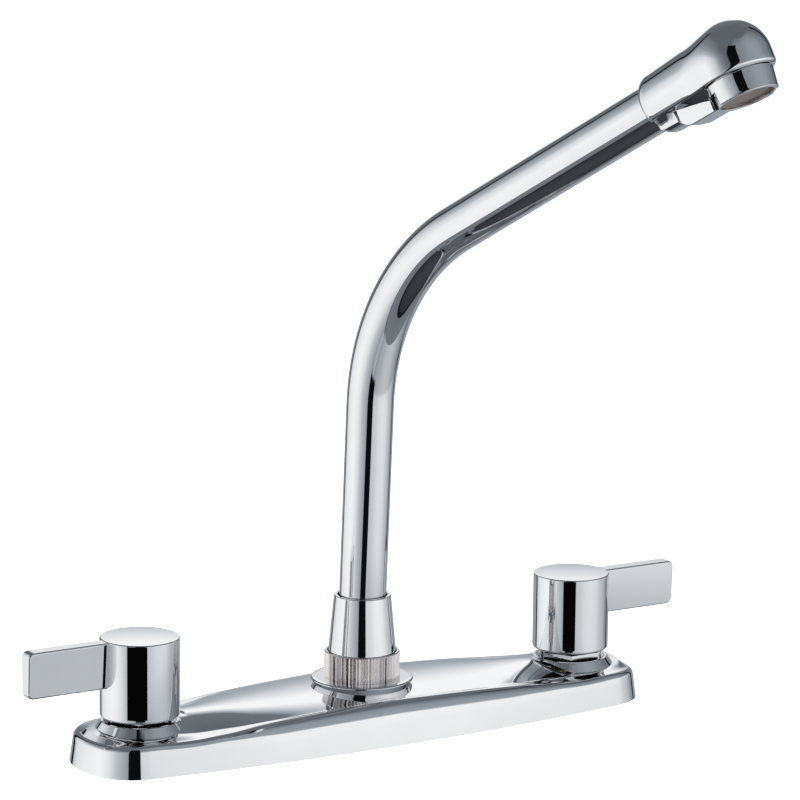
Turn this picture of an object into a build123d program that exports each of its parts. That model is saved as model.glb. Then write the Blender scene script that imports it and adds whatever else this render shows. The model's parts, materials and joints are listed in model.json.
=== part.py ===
from build123d import *
import math
import os

# Two handle kitchen faucet on an 8 in deck plate, with a tall swivel spout.
# Millimetres. The origin is the middle of the plate's underside, on the sink.
# +X runs to the cold handle, -Y to the person at the sink, +Z up.

# --- Deck plate: one chromed casting, open underneath -------------------------
valve_spacing = 203.2       # centre to centre of the two valves, 8 in
mid_half_width = 32.7       # half the plate's width at its middle
tip_reach = 26.5            # valve axis to the plate's tip
plate_corner_reach = 18.4   # valve axis to the corner that an end is drawn from
plate_corner_half_width = 24.0
plate_corner_radius = 20.0  # round corners of the plan
wall_draft = 8.0            # lean of the side walls, degrees
shell_wall = 2.5
shoulder_radius = 4.2       # soft edge between the walls and the ledge
ledge_end_height = 13.0     # ledge round the handles
ledge_fall_start = 8.0      # past a valve axis the ledge bends down to the tip
ledge_tip_height = 10.6
# Cross sections of the top: distance from the middle, height of the ledge, half
# the width of the low vault that runs along the plate, height of its crest.
plate_sections = (
    (0.0, 17.1, 25.0, 19.0),
    (40.0, 16.0, 24.2, 18.4),
    (60.0, 14.9, 22.2, 18.1),
    (78.0, 13.4, 17.6, 17.8),
    (88.0, ledge_end_height, 16.9, 17.0),
    (valve_spacing / 2, ledge_end_height, 16.4, 14.2),
)
vault_foot_sink = 0.4       # how far the vault's edge dips into the ledge

# --- Handle collars and spout flange, cast on the plate -----------------------
collar_foot_radius = 20.1   # at the underside of the ledge
collar_rim_radius = 15.4
collar_rim_height = 17.0
collar_land_radius = 17.8   # flat cut into the vault, level with the rim
collar_recess_radius = 14.2
collar_floor_height = 14.5  # floor of the recess that the bonnet nut sits on
collar_roof_under = 13.0    # underside of that floor, on the valve's shoulder
flange_foot_radius = 20.6
flange_rim_radius = 19.0
flange_height = 21.2
flange_edge_radius = 0.8

# --- Base plate under the casting ---------------------------------------------
base_thickness = 2.5
loose_fit = 0.3             # gap round a piece that only has to drop in
snug_fit = 0.05             # gap round a piece that turns or is brazed

# --- Valve bodies, with the threaded shanks that go through the sink ----------
shank_radius = 10.4         # 1/2 in straight pipe thread, over the crests
shank_length = 55.0
shank_chamfer = 1.2
supply_thread_length = 20.0  # free end of the shank, for the supply hose
supply_relief_width = 1.5    # groove where that thread ends
supply_relief_depth = 0.6
waterway_radius = 5.5
valve_flange_radius = 16.5
valve_flange_thickness = 1.5
valve_radius = 13.5
neck_radius = 9.9           # male thread for the bonnet nut
neck_height = 17.0
cartridge_bore_radius = 7.6
seat_height = 0.5           # bottom of the cartridge bore
port_height = 8.2           # axis of the crossover tube
crossover_radius = 4.0
crossover_wall = 0.8
crossover_depth = 4.0       # how far the tube goes into each casting

# --- Quarter turn cartridges --------------------------------------------------
seal_thickness = 2.0
disc_thickness = 2.5
disc_film = 0.05            # water film between the two ceramic discs
sleeve_wall = 1.25
sleeve_flange_thickness = 1.2
sleeve_neck_radius = 6.0
sleeve_top = 23.0
window_width = 6.5          # side window of the sleeve, level with the port
window_height = 5.0
disc_port_radius = 1.6
disc_port_circle = 3.4
stem_radius = 4.0
stem_foot_thickness = 3.0
stem_top = 41.0
stem_flat = 3.2             # flat for the set screw, from the stem's axis
stem_chamfer = 0.6
oring_height = 20.5         # the stem's O-ring
oring_thickness = 1.8
bonnet_corner_radius = 13.0
bonnet_web = 1.8
bonnet_chamfer = 0.8

# --- Handles: a round barrel with a flat blade pointing outwards --------------
barrel_radius = 15.75
barrel_height = 32.0
barrel_wall = 1.95
barrel_top_wall = 4.0
barrel_edge_radius = 0.5
barrel_foot_radius = 1.1    # rounding of the barrel's open end
gaps_over_collar = {"hot": 1.7, "cold": 3.5}
socket_radius = 6.5
socket_reach = 21.0         # length of the stem socket, down from the top wall
lever_reach = 49.9          # handle axis to the blade's end
lever_height = 18.6
lever_thickness = 6.5
lever_drop = 0.6            # blade top below the barrel top
lever_corner_radius = 2.6
lever_edge_radius = 1.1
screw_radius = 2.5
screw_length = 7.0
screw_key_size = 1.25       # radius of the hexagon for the key
screw_drop = 16.0           # set screw axis below the barrel top
screw_web_width = 8.0

# --- Washers and nuts under the sink ------------------------------------------
sink_thickness = 12.0       # thickest sink and clamping gap drawn
washer_radius = 19.0
washer_thickness = 1.5
mounting_nut_radius = 17.0
mounting_nut_thickness = 8.0
mounting_nut_chamfer = 1.2

# --- Spout hub and its knurled nut --------------------------------------------
hub_flange_radius = 15.0
hub_flange_thickness = 1.5
hub_radius = 12.5
hub_top = 25.5
hub_floor = 6.0
hub_oring_heights = (15.5, 20.0)
hub_port_depth = 2.2        # how far a crossover tube goes into the hub
hub_oring_thickness = 1.9
nut_radius = 15.4
nut_top = 32.0
nut_recess_radius = 14.15
nut_recess_depth = 0.8
nut_web = 2.4
knurl_count = 72
knurl_depth = 0.55
knurl_half_angle = 37.0     # of each V groove, degrees
nut_plain_band = 0.9        # smooth bands above and below the knurl

# --- Spout --------------------------------------------------------------------
spout_turn = 13.7           # rest position, from -Y towards +X, degrees
tube_radius = 9.525         # 3/4 in tube
tube_wall = 1.2
tube_foot = 12.6            # lower end of the tube, inside the hub
lean_height = 52.0          # where the riser starts to lean
riser_lean = 2.4            # degrees
lean_radius = 200.0
corner_height = 184.6       # where the riser and arm centre lines cross
arm_rise = 29.4             # slope of the arm, degrees
arm_length = 169.0          # from that corner to the sleeve's end
bend_radius = 92.0
tube_in_head = 8.0
ferrule_foot_radius = 13.75
ferrule_tip_radius = 11.5
ferrule_top = 55.1
ferrule_mouth_depth = 8.5   # relief at its top, where the riser starts to lean
ferrule_mouth_gap = 0.6
ferrule_edge_radius = 0.4
keeper_radius = 11.9        # plastic ring that holds the spout down
keeper_thickness = 2.4
turn_gap = 0.3              # between the nut and what turns above it

# --- Spout head ---------------------------------------------------------------
sleeve_end_radius = 11.4
sleeve_radius = 12.3
sleeve_round = 4.0          # length of the rounded end
sleeve_round_share = 0.35   # share of that length where two thirds of the rise is over
sleeve_flare_start = 24.0
sleeve_flare_radius = 13.2
dome_radius = 14.7
outlet_reach = 38.4         # sleeve end to the outlet's axis
underside_drop = 6.6        # flat underside below the arm's axis
full_sleeve = 9.0           # length of sleeve that stays round below
head_bore_radius = 5.6
lug_half_width = 5.8
lug_drop = 14.4
lug_corner_radius = 5.5
ring_gap = 0.35
spigot_radius = 10.9
spigot_drop = 10.8
spigot_bore_radius = 8.6

# --- Aerator ------------------------------------------------------------------
aerator_top_radius = 12.9
aerator_lip_radius = 12.1
aerator_drop = 15.3         # lip below the arm's axis
aerator_lip_height = 1.0
aerator_mouth_radius = 10.3
aerator_seat = 1.1          # thickness of the inward rim under the screen
washer_seal_thickness = 1.3
insert_thickness = 1.4
insert_hole_radius = 0.9
insert_hole_circle = 6.2
insert_hole_count = 12

# --- Places worked out from the sizes above -----------------------------------
sides = {"hot": -1, "cold": 1}
valve_x = valve_spacing / 2
stack_bottom = seat_height + seal_thickness
fixed_disc_top = stack_bottom + disc_thickness
turning_disc_bottom = fixed_disc_top + disc_film
foot_bottom = turning_disc_bottom + disc_thickness
foot_top = foot_bottom + stem_foot_thickness
sleeve_outer_radius = cartridge_bore_radius - snug_fit
sleeve_inner_radius = sleeve_outer_radius - sleeve_wall
inner_disc_radius = sleeve_inner_radius - loose_fit
sleeve_flange_top = neck_height + sleeve_flange_thickness
bonnet_top = sleeve_flange_top + bonnet_web
hub_bore_radius = tube_radius + loose_fit
washer_top = -sink_thickness
keeper_bottom = hub_top + turn_gap / 2
nut_floor = nut_top - nut_recess_depth
nut_web_bottom = nut_floor - nut_web
ferrule_foot = nut_floor + turn_gap

# The spout's upright plane, and the arm's own frame at the sleeve's end.
turn = math.radians(spout_turn)
lean = math.radians(riser_lean)
rise = math.radians(arm_rise)
outward = Vector(math.sin(turn), -math.cos(turn), 0)
across = Vector(-math.cos(turn), -math.sin(turn), 0)
spout_plane = Plane(origin=(0, 0, 0), x_dir=outward, z_dir=across)
arm_way = outward * math.cos(rise) + Vector(0, 0, math.sin(rise))
outlet_way = outward * math.sin(rise) - Vector(0, 0, math.cos(rise))
corner_reach = (corner_height - lean_height) * math.tan(lean)
seam_reach = corner_reach + arm_length * math.cos(rise)
seam_height = corner_height + arm_length * math.sin(rise)
seam = outward * seam_reach + Vector(0, 0, seam_height)
arm_plane = Plane(origin=seam, x_dir=arm_way, z_dir=across)
outlet_centre = seam + arm_way * outlet_reach
outlet_section = Plane(origin=outlet_centre, x_dir=arm_way, z_dir=across * -1)
outlet_axis = Axis(outlet_centre, outlet_way)


def save(part, name):
    """Label one finished piece and write it to its own file."""
    part.label = name
    export_step(part, f"parts/{name}.step")


def at_valve(part, side):
    """Move a piece drawn on the origin to a valve, turned to face the spout."""
    return part.moved(Location((side * valve_x, 0, 0), (0, 0, 90 - 90 * side)))


def half_section(points, plane=Plane.XZ):
    """Closed outline through (radius, height) points, ready to revolve."""
    with BuildSketch(plane) as section:
        with BuildLine():
            Polyline(*points, close=True)
        make_face()
    return section.sketch


def plate_outline(inset):
    """Plan of the plate: long shallow sides, rounder tips and soft corners."""
    corner_x = valve_x + plate_corner_reach
    tip_x = valve_x + tip_reach
    with BuildSketch() as outline:
        with BuildLine():
            ThreePointArc((-corner_x, -plate_corner_half_width), (0, -mid_half_width),
                          (corner_x, -plate_corner_half_width))
            ThreePointArc((corner_x, -plate_corner_half_width), (tip_x, 0),
                          (corner_x, plate_corner_half_width))
            ThreePointArc((corner_x, plate_corner_half_width), (0, mid_half_width),
                          (-corner_x, plate_corner_half_width))
            ThreePointArc((-corner_x, plate_corner_half_width), (-tip_x, 0),
                          (-corner_x, -plate_corner_half_width))
        make_face()
        fillet(outline.vertices(), plate_corner_radius)
        if inset > 0:
            offset(amount=-inset)
    return outline.sketch


def mirrored(rows):
    """The rows of a table of cross sections, from one end of the plate to the other."""
    return [(-row[0], *row[1:]) for row in reversed(rows[1:])] + list(rows)


def vault_form(inset):
    """The low vault along the plate, drawn in by inset, lofted through its sections."""
    reach = valve_x if inset == 0 else valve_x - collar_foot_radius
    rows = [row for row in plate_sections if row[0] <= reach]
    low = base_thickness + inset
    with BuildPart() as vault:
        for x, ledge, half_width, crest in mirrored(rows):
            foot = ledge - vault_foot_sink - inset
            half = half_width - inset
            with BuildSketch(Plane.YZ.offset(x)):
                with BuildLine():
                    ThreePointArc((-half, foot), (0, crest - inset), (half, foot))
                    Polyline((half, foot), (half, low), (-half, low), (-half, foot))
                make_face()
        loft()
    return vault.part


def plate_form(inset):
    """The plate's main form, drawn in by inset at its sides and top."""
    ledge = [(x, height - inset) for x, height, _, _ in mirrored(plate_sections)]
    level = ledge_end_height - inset
    fall_x = valve_x + ledge_fall_start
    tip_x = valve_x + tip_reach
    tip_height = ledge_tip_height - inset
    with BuildPart() as form:
        with BuildSketch():
            add(plate_outline(inset))
        extrude(amount=flange_height, taper=wall_draft)
        with BuildSketch(Plane.XZ.offset(-2 * mid_half_width)):
            with BuildLine():
                Spline(*ledge, tangents=((1, 0), (1, 0)))
                Line((valve_x, level), (fall_x, level))
                TangentArc((fall_x, level), (tip_x, tip_height), tangent=(1, 0))
                Polyline((tip_x, tip_height), (tip_x, 0), (-tip_x, 0), (-tip_x, tip_height))
                TangentArc((-fall_x, level), (-tip_x, tip_height), tangent=(-1, 0))
                Line((-fall_x, level), (-valve_x, level))
            make_face()
        extrude(amount=4 * mid_half_width, mode=Mode.INTERSECT)
        if inset == 0:
            rims = form.edges().filter_by(lambda edge: edge.center().Z > base_thickness)
            fillet(rims.filter_by(GeomType.LINE, reverse=True), shoulder_radius)
        add(vault_form(inset))
    return form.part


def deck_plate_piece():
    """Chromed casting: plate, vault, two handle collars and the spout flange."""
    collar_foot = ledge_end_height - shell_wall
    valves = [(side * valve_x, 0) for side in sides.values()]
    with BuildPart() as deck_plate:
        add(plate_form(0))
        with BuildSketch(Plane.XY.offset(collar_rim_height)):
            with Locations(*valves):
                Circle(collar_land_radius)
        extrude(amount=flange_height - collar_rim_height, mode=Mode.SUBTRACT)
        for side in sides.values():
            with Locations((side * valve_x, 0, collar_foot)):
                Cone(collar_foot_radius, collar_rim_radius, collar_rim_height - collar_foot,
                     align=(Align.CENTER, Align.CENTER, Align.MIN))
        with Locations((0, 0, collar_foot)):
            Cone(flange_foot_radius, flange_rim_radius, flange_height - collar_foot,
                 align=(Align.CENTER, Align.CENTER, Align.MIN))
        fillet(deck_plate.edges().group_by(Axis.Z)[-1], flange_edge_radius)
        add(plate_form(shell_wall), mode=Mode.SUBTRACT)
        with BuildSketch():
            with Locations(*valves):
                Circle(valve_radius + loose_fit)
        extrude(amount=collar_roof_under, mode=Mode.SUBTRACT)
        with BuildSketch(Plane.XY.offset(collar_floor_height)):
            with Locations(*valves):
                Circle(collar_recess_radius)
        extrude(amount=flange_height, mode=Mode.SUBTRACT)
        with BuildSketch():
            with Locations(*valves):
                Circle(neck_radius + loose_fit)
            Circle(hub_radius + loose_fit)
        extrude(amount=flange_height, mode=Mode.SUBTRACT)
        with BuildSketch(Plane.YZ.offset(-valve_x)):
            with Locations((0, port_height)):
                Circle(crossover_radius + 2 * loose_fit)
        extrude(amount=valve_spacing, mode=Mode.SUBTRACT)
    return deck_plate.part


def base_plate_piece():
    """Moulded plate that fills the casting's mouth and seats on the sink."""
    with BuildPart() as base_plate:
        with BuildSketch():
            add(plate_outline(shell_wall + loose_fit))
            with Locations(*[(side * valve_x, 0) for side in sides.values()]):
                Circle(shank_radius + loose_fit, mode=Mode.SUBTRACT)
        extrude(amount=base_thickness, taper=wall_draft)
    return base_plate.part


def valve_body_piece():
    """Brass body: threaded shank, foot flange, cartridge bore and nut thread."""
    flange_top = base_thickness + valve_flange_thickness
    relief_bottom = supply_thread_length - shank_length
    with BuildPart() as valve_body:
        revolve(half_section([
            (waterway_radius, -shank_length),
            (shank_radius - shank_chamfer, -shank_length),
            (shank_radius, shank_chamfer - shank_length),
            (shank_radius, relief_bottom),
            (shank_radius - supply_relief_depth, relief_bottom),
            (shank_radius - supply_relief_depth, relief_bottom + supply_relief_width),
            (shank_radius, relief_bottom + supply_relief_width),
            (shank_radius, base_thickness),
            (valve_flange_radius, base_thickness),
            (valve_flange_radius, flange_top),
            (valve_radius, flange_top),
            (valve_radius, collar_roof_under),
            (neck_radius, collar_roof_under),
            (neck_radius, neck_height),
            (cartridge_bore_radius, neck_height),
            (cartridge_bore_radius, seat_height),
            (waterway_radius, seat_height),
        ]), axis=Axis.Z)
        with BuildSketch(Plane(origin=(0, 0, port_height), z_dir=(-1, 0, 0))):
            Circle(crossover_radius - crossover_wall)
        extrude(amount=valve_radius, mode=Mode.SUBTRACT)
        mouth = crossover_depth - valve_radius
        with BuildSketch(Plane(origin=(mouth, 0, port_height), z_dir=(-1, 0, 0))):
            Circle(crossover_radius + snug_fit)
        extrude(amount=valve_radius, mode=Mode.SUBTRACT)
    return valve_body.part


def crossover_tube_piece(side):
    """Copper tube, brazed between a valve body and the spout hub."""
    start = hub_radius - hub_port_depth
    length = valve_x - valve_radius + crossover_depth - start
    plane = Plane(origin=(side * start, 0, port_height), z_dir=(side, 0, 0))
    with BuildPart() as crossover_tube:
        with BuildSketch(plane):
            Circle(crossover_radius)
            Circle(crossover_radius - crossover_wall, mode=Mode.SUBTRACT)
        extrude(amount=length)
    return crossover_tube.part


def seat_seal_piece():
    """Rubber ring that the cartridge is pressed down on."""
    with BuildPart() as seat_seal:
        with BuildSketch(Plane.XY.offset(seat_height)):
            Circle(cartridge_bore_radius - snug_fit)
            Circle(waterway_radius, mode=Mode.SUBTRACT)
        extrude(amount=seal_thickness)
    return seat_seal.part


def ceramic_disc_piece(bottom):
    """Ceramic disc with its two water ports."""
    with BuildPart() as ceramic_disc:
        with BuildSketch(Plane.XY.offset(bottom)):
            Circle(inner_disc_radius)
            with PolarLocations(disc_port_circle, 2):
                Circle(disc_port_radius, mode=Mode.SUBTRACT)
        extrude(amount=disc_thickness)
    return ceramic_disc.part


def cartridge_sleeve_piece():
    """Brass sleeve round the discs, with a guide neck for the stem."""
    chamber_top = foot_top + loose_fit
    with BuildPart() as cartridge_sleeve:
        revolve(half_section([
            (sleeve_inner_radius, stack_bottom),
            (sleeve_outer_radius, stack_bottom),
            (sleeve_outer_radius, neck_height),
            (neck_radius, neck_height),
            (neck_radius, sleeve_flange_top),
            (sleeve_neck_radius, sleeve_flange_top),
            (sleeve_neck_radius, sleeve_top),
            (stem_radius + snug_fit, sleeve_top),
            (stem_radius + snug_fit, chamber_top),
            (sleeve_inner_radius, chamber_top),
        ]), axis=Axis.Z)
        with Locations((-sleeve_outer_radius, 0, port_height)):
            Box(sleeve_outer_radius, window_width, window_height, mode=Mode.SUBTRACT)
    return cartridge_sleeve.part


def stem_piece():
    """Turned stem: foot on the upper disc, O-ring groove, flat for the screw."""
    groove_radius = stem_radius - oring_thickness
    groove_half = oring_thickness / 2 + snug_fit
    with BuildPart() as stem:
        revolve(half_section([
            (0, foot_bottom),
            (inner_disc_radius, foot_bottom),
            (inner_disc_radius, foot_top),
            (stem_radius, foot_top),
            (stem_radius, oring_height - groove_half),
            (groove_radius, oring_height - groove_half),
            (groove_radius, oring_height + groove_half),
            (stem_radius, oring_height + groove_half),
            (stem_radius, stem_top),
            (0, stem_top),
        ]), axis=Axis.Z)
        chamfer(stem.edges().group_by(Axis.Z)[-1], stem_chamfer)
        with Locations((0, stem_flat, sleeve_top)):
            Box(2 * stem_radius, stem_radius, stem_top,
                align=(Align.CENTER, Align.MIN, Align.MIN), mode=Mode.SUBTRACT)
    return stem.part


def ring_piece(heights, inner_radius, thickness):
    """One or more O-rings of the given thickness, at the given heights."""
    with BuildPart() as rings:
        with Locations(*[(0, 0, height) for height in heights]):
            Torus(inner_radius + thickness / 2, thickness / 2)
    return rings.part


def bonnet_nut_piece():
    """Hexagon cap nut that clamps the cartridge and the casting's collar."""
    with BuildPart() as bonnet_nut:
        with BuildSketch(Plane.XY.offset(collar_floor_height)):
            RegularPolygon(bonnet_corner_radius, 6)
        extrude(amount=bonnet_top - collar_floor_height)
        chamfer(bonnet_nut.edges().group_by(Axis.Z)[-1], bonnet_chamfer)
        with BuildSketch(Plane.XY.offset(collar_floor_height)):
            Circle(neck_radius + snug_fit)
        extrude(amount=sleeve_flange_top - collar_floor_height, mode=Mode.SUBTRACT)
        with BuildSketch(Plane.XY.offset(collar_floor_height)):
            Circle(sleeve_neck_radius + loose_fit)
        extrude(amount=bonnet_top, mode=Mode.SUBTRACT)
    return bonnet_nut.part


def handle_sizes(name):
    """Heights of one handle's barrel: its foot, its top and its set screw."""
    foot = collar_rim_height + gaps_over_collar[name]
    top = foot + barrel_height
    return foot, top, top - screw_drop


def blade_form(name, side):
    """Flat lever blade with softened edges, rooted in the barrel's wall."""
    top = handle_sizes(name)[1] - lever_drop
    root = barrel_radius - barrel_wall / 2
    middle = side * (valve_x + (root + lever_reach) / 2)
    with BuildPart() as blade:
        with BuildSketch(Plane.XZ.offset(-lever_thickness / 2)):
            with Locations((middle, top - lever_height / 2)):
                Rectangle(lever_reach - root, lever_height)
        extrude(amount=lever_thickness)
        corners = blade.edges().filter_by(Axis.Y).sort_by(Axis.X, reverse=side > 0)[:2]
        fillet(corners, lever_corner_radius)
        sides_of_blade = blade.faces().filter_by(Axis.Y)
        fillet(sides_of_blade.edges(), lever_edge_radius)
    return blade.part


def handle_piece(name, side):
    """Chromed casting: hollow barrel, stem socket and lever blade."""
    foot, top, screw_height = handle_sizes(name)
    axis_x = side * valve_x
    roof = top - barrel_top_wall
    with BuildPart() as handle:
        with BuildSketch(Plane.XY.offset(foot)):
            with Locations((axis_x, 0)):
                Circle(barrel_radius)
        extrude(amount=barrel_height)
        ends = handle.edges().filter_by(GeomType.CIRCLE).sort_by(Axis.Z)
        fillet(ends[-1], barrel_edge_radius)
        fillet(ends[0], barrel_foot_radius)
        add(blade_form(name, side))
        with BuildSketch(Plane.XY.offset(foot)):
            with Locations((axis_x, 0)):
                Circle(barrel_radius - barrel_wall)
        extrude(amount=roof - foot, mode=Mode.SUBTRACT)
        with BuildSketch(Plane.XY.offset(roof)):
            with Locations((axis_x, 0)):
                Circle(socket_radius)
        extrude(amount=-socket_reach)
        with BuildSketch(Plane.XY.offset(roof)):
            with Locations((axis_x, (barrel_radius - barrel_wall / 2) / 2)):
                Rectangle(screw_web_width, barrel_radius - barrel_wall / 2)
        extrude(amount=screw_height - screw_web_width / 2 - roof)
        with BuildSketch(Plane.XY.offset(foot)):
            with Locations((axis_x, 0)):
                Circle(stem_radius + snug_fit)
        extrude(amount=stem_top + snug_fit - foot, mode=Mode.SUBTRACT)
        with BuildSketch(Plane.XZ):
            with Locations((axis_x, screw_height)):
                Circle(screw_radius)
        extrude(amount=-barrel_radius, mode=Mode.SUBTRACT)
    return handle.part


def set_screw_piece(name, side):
    """Grub screw from the back of the barrel to the stem's flat."""
    start = stem_flat + snug_fit
    screw_height = handle_sizes(name)[2]
    plane = Plane.XZ.offset(-start)
    with BuildPart() as set_screw:
        with BuildSketch(plane):
            with Locations((side * valve_x, screw_height)):
                Circle(screw_radius)
        extrude(amount=-screw_length)
        with BuildSketch(plane.offset(-screw_length)):
            with Locations((side * valve_x, screw_height)):
                RegularPolygon(screw_key_size, 6)
        extrude(amount=screw_length / 2, mode=Mode.SUBTRACT)
    return set_screw.part


def mounting_washer_piece():
    """Flat washer against the sink's underside."""
    with BuildPart() as mounting_washer:
        with BuildSketch(Plane.XY.offset(washer_top - washer_thickness)):
            Circle(washer_radius)
            Circle(shank_radius + loose_fit, mode=Mode.SUBTRACT)
        extrude(amount=washer_thickness)
    return mounting_washer.part


def mounting_nut_piece():
    """Hexagon nut that pulls the plate down on the sink."""
    with BuildPart() as mounting_nut:
        with BuildSketch(Plane.XY.offset(washer_top - washer_thickness)):
            RegularPolygon(mounting_nut_radius, 6)
        extrude(amount=-mounting_nut_thickness)
        chamfer(mounting_nut.edges().group_by(Axis.Z)[0], mounting_nut_chamfer)
        with BuildSketch(Plane.XY.offset(washer_top)):
            Circle(shank_radius + snug_fit)
        extrude(amount=-sink_thickness - mounting_nut_thickness, mode=Mode.SUBTRACT)
    return mounting_nut.part


def spout_hub_piece():
    """Brass socket that the spout turns in, fed by both crossover tubes."""
    flange_top = base_thickness + hub_flange_thickness
    groove_inner = hub_bore_radius - snug_fit
    groove_outer = tube_radius + 2 * snug_fit + hub_oring_thickness
    groove_half = hub_oring_thickness / 2 + snug_fit
    with BuildPart() as spout_hub:
        revolve(half_section([
            (0, base_thickness),
            (hub_flange_radius, base_thickness),
            (hub_flange_radius, flange_top),
            (hub_radius, flange_top),
            (hub_radius, hub_top),
            (hub_bore_radius, hub_top),
            (hub_bore_radius, hub_floor),
            (0, hub_floor),
        ]), axis=Axis.Z)
        for height in hub_oring_heights:
            revolve(half_section([
                (groove_inner, height - groove_half),
                (groove_outer, height - groove_half),
                (groove_outer, height + groove_half),
                (groove_inner, height + groove_half),
            ]), axis=Axis.Z, mode=Mode.SUBTRACT)
        with BuildSketch(Plane.YZ.offset(-hub_radius)):
            with Locations((0, port_height)):
                Circle(crossover_radius - crossover_wall)
        extrude(amount=2 * hub_radius, mode=Mode.SUBTRACT)
        for side in sides.values():
            mouth = Plane(origin=(side * (hub_radius - hub_port_depth), 0, port_height),
                          z_dir=(side, 0, 0))
            with BuildSketch(mouth):
                Circle(crossover_radius + snug_fit)
            extrude(amount=hub_radius, mode=Mode.SUBTRACT)
    return spout_hub.part


def knurled_nut_piece():
    """Nut on the hub, knurled with straight grooves, that keeps the spout down."""
    knurl_foot = flange_height + nut_plain_band
    knurl_height = nut_top - nut_plain_band - knurl_foot
    groove_mouth = 2 * knurl_depth * math.tan(math.radians(knurl_half_angle))
    with BuildPart() as knurled_nut:
        revolve(half_section([
            (hub_radius + snug_fit, flange_height),
            (nut_radius, flange_height),
            (nut_radius, nut_top),
            (nut_recess_radius, nut_top),
            (nut_recess_radius, nut_floor),
            (tube_radius + loose_fit, nut_floor),
            (tube_radius + loose_fit, nut_web_bottom),
            (hub_radius + snug_fit, nut_web_bottom),
        ]), axis=Axis.Z)
        with BuildSketch(Plane.XY.offset(knurl_foot)):
            with PolarLocations(nut_radius, knurl_count):
                with BuildLine():
                    Polyline((-knurl_depth, 0), (knurl_depth, groove_mouth),
                             (knurl_depth, -groove_mouth), close=True)
                make_face()
        extrude(amount=knurl_height, mode=Mode.SUBTRACT)
    return knurled_nut.part


def keeper_ring_piece():
    """Plastic ring on the tube, caught between the hub and the nut's web."""
    with BuildPart() as keeper_ring:
        with BuildSketch(Plane.XY.offset(keeper_bottom)):
            Circle(keeper_radius)
            Circle(tube_radius, mode=Mode.SUBTRACT)
        extrude(amount=keeper_thickness)
    return keeper_ring.part


def ferrule_piece():
    """Tapered sleeve at the foot of the spout, just above the nut."""
    mouth_foot = ferrule_top - ferrule_mouth_depth
    with BuildPart() as ferrule:
        revolve(half_section([
            (tube_radius + snug_fit, ferrule_foot),
            (ferrule_foot_radius, ferrule_foot),
            (ferrule_tip_radius, ferrule_top),
            (tube_radius + ferrule_mouth_gap, ferrule_top),
            (tube_radius + ferrule_mouth_gap, mouth_foot),
            (tube_radius + snug_fit, mouth_foot),
        ]), axis=Axis.Z)
        fillet(ferrule.edges().group_by(Axis.Z)[-1].sort_by(SortBy.LENGTH)[-1],
               ferrule_edge_radius)
    return ferrule.part


def spout_tube_piece():
    """Bent tube: a riser that leans a little, one wide bend and a straight arm."""
    end = arm_length + tube_in_head
    end_point = (corner_reach + end * math.cos(rise), corner_height + end * math.sin(rise))
    with BuildPart() as spout_tube:
        with BuildLine(spout_plane) as route:
            FilletPolyline((0, tube_foot), (0, lean_height), (corner_reach, corner_height),
                           end_point, radius=[lean_radius, bend_radius])
        with BuildSketch(Plane(origin=route.line @ 0, z_dir=route.line % 0)):
            Circle(tube_radius)
            Circle(tube_radius - tube_wall, mode=Mode.SUBTRACT)
        sweep()
    return spout_tube.part


def spout_head_piece():
    """Chromed casting: sleeve over the tube, domed elbow, lug and outlet."""
    half_way = math.sqrt(0.5) * dome_radius
    knee = (sleeve_end_radius + 2 * sleeve_radius) / 3
    flare = (sleeve_flare_start - sleeve_round, sleeve_flare_radius - sleeve_radius)
    far = outlet_reach + 2 * dome_radius
    lug_back = full_sleeve - snug_fit
    outlet_plane = Plane(origin=outlet_centre, x_dir=arm_way, z_dir=outlet_way)
    underside_plane = outlet_plane.offset(underside_drop)
    with BuildPart() as spout_head:
        with BuildSketch(arm_plane):
            with BuildLine():
                ThreePointArc((0, sleeve_end_radius), (sleeve_round * sleeve_round_share, knee),
                              (sleeve_round, sleeve_radius))
                Line((sleeve_round, sleeve_radius), (sleeve_flare_start, sleeve_flare_radius))
                Spline((sleeve_flare_start, sleeve_flare_radius), (outlet_reach, dome_radius),
                       tangents=(flare, (1, 0)))
                ThreePointArc((outlet_reach, dome_radius), (outlet_reach + half_way, half_way),
                              (outlet_reach + dome_radius, 0))
                Polyline((outlet_reach + dome_radius, 0), (0, 0), (0, sleeve_end_radius))
            make_face()
        revolve(axis=Axis(seam, arm_way))
        with BuildSketch(outlet_plane):
            Circle(dome_radius)
        extrude(amount=underside_drop)
        with BuildSketch(arm_plane.offset(-far)):
            with BuildLine():
                Polyline((full_sleeve, -underside_drop), (far, -underside_drop), (far, -far),
                         (full_sleeve, -far), close=True)
            make_face()
        extrude(amount=2 * far, mode=Mode.SUBTRACT)
        with BuildSketch(arm_plane.offset(-lug_half_width)):
            with BuildLine():
                Line((lug_back, 0), (lug_back, lug_corner_radius - lug_drop))
                RadiusArc((lug_back, lug_corner_radius - lug_drop),
                          (lug_back + lug_corner_radius, -lug_drop), -lug_corner_radius)
                Polyline((lug_back + lug_corner_radius, -lug_drop), (outlet_reach, -lug_drop),
                         (outlet_reach, 0), (lug_back, 0))
            make_face()
        extrude(amount=2 * lug_half_width)
        with BuildSketch(underside_plane):
            Circle(aerator_top_radius + ring_gap)
        extrude(amount=aerator_drop, mode=Mode.SUBTRACT)
        with BuildSketch(underside_plane):
            Circle(spigot_radius)
        extrude(amount=spigot_drop - underside_drop)
        with BuildSketch(outlet_plane):
            Circle(spigot_bore_radius)
        extrude(amount=spigot_drop, mode=Mode.SUBTRACT)
        with BuildSketch(Plane(origin=seam, z_dir=arm_way)):
            Circle(head_bore_radius)
        extrude(amount=outlet_reach, mode=Mode.SUBTRACT)
        with BuildSketch(Plane(origin=seam, z_dir=arm_way)):
            Circle(tube_radius + snug_fit)
        extrude(amount=tube_in_head, mode=Mode.SUBTRACT)
    return spout_head.part


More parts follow.
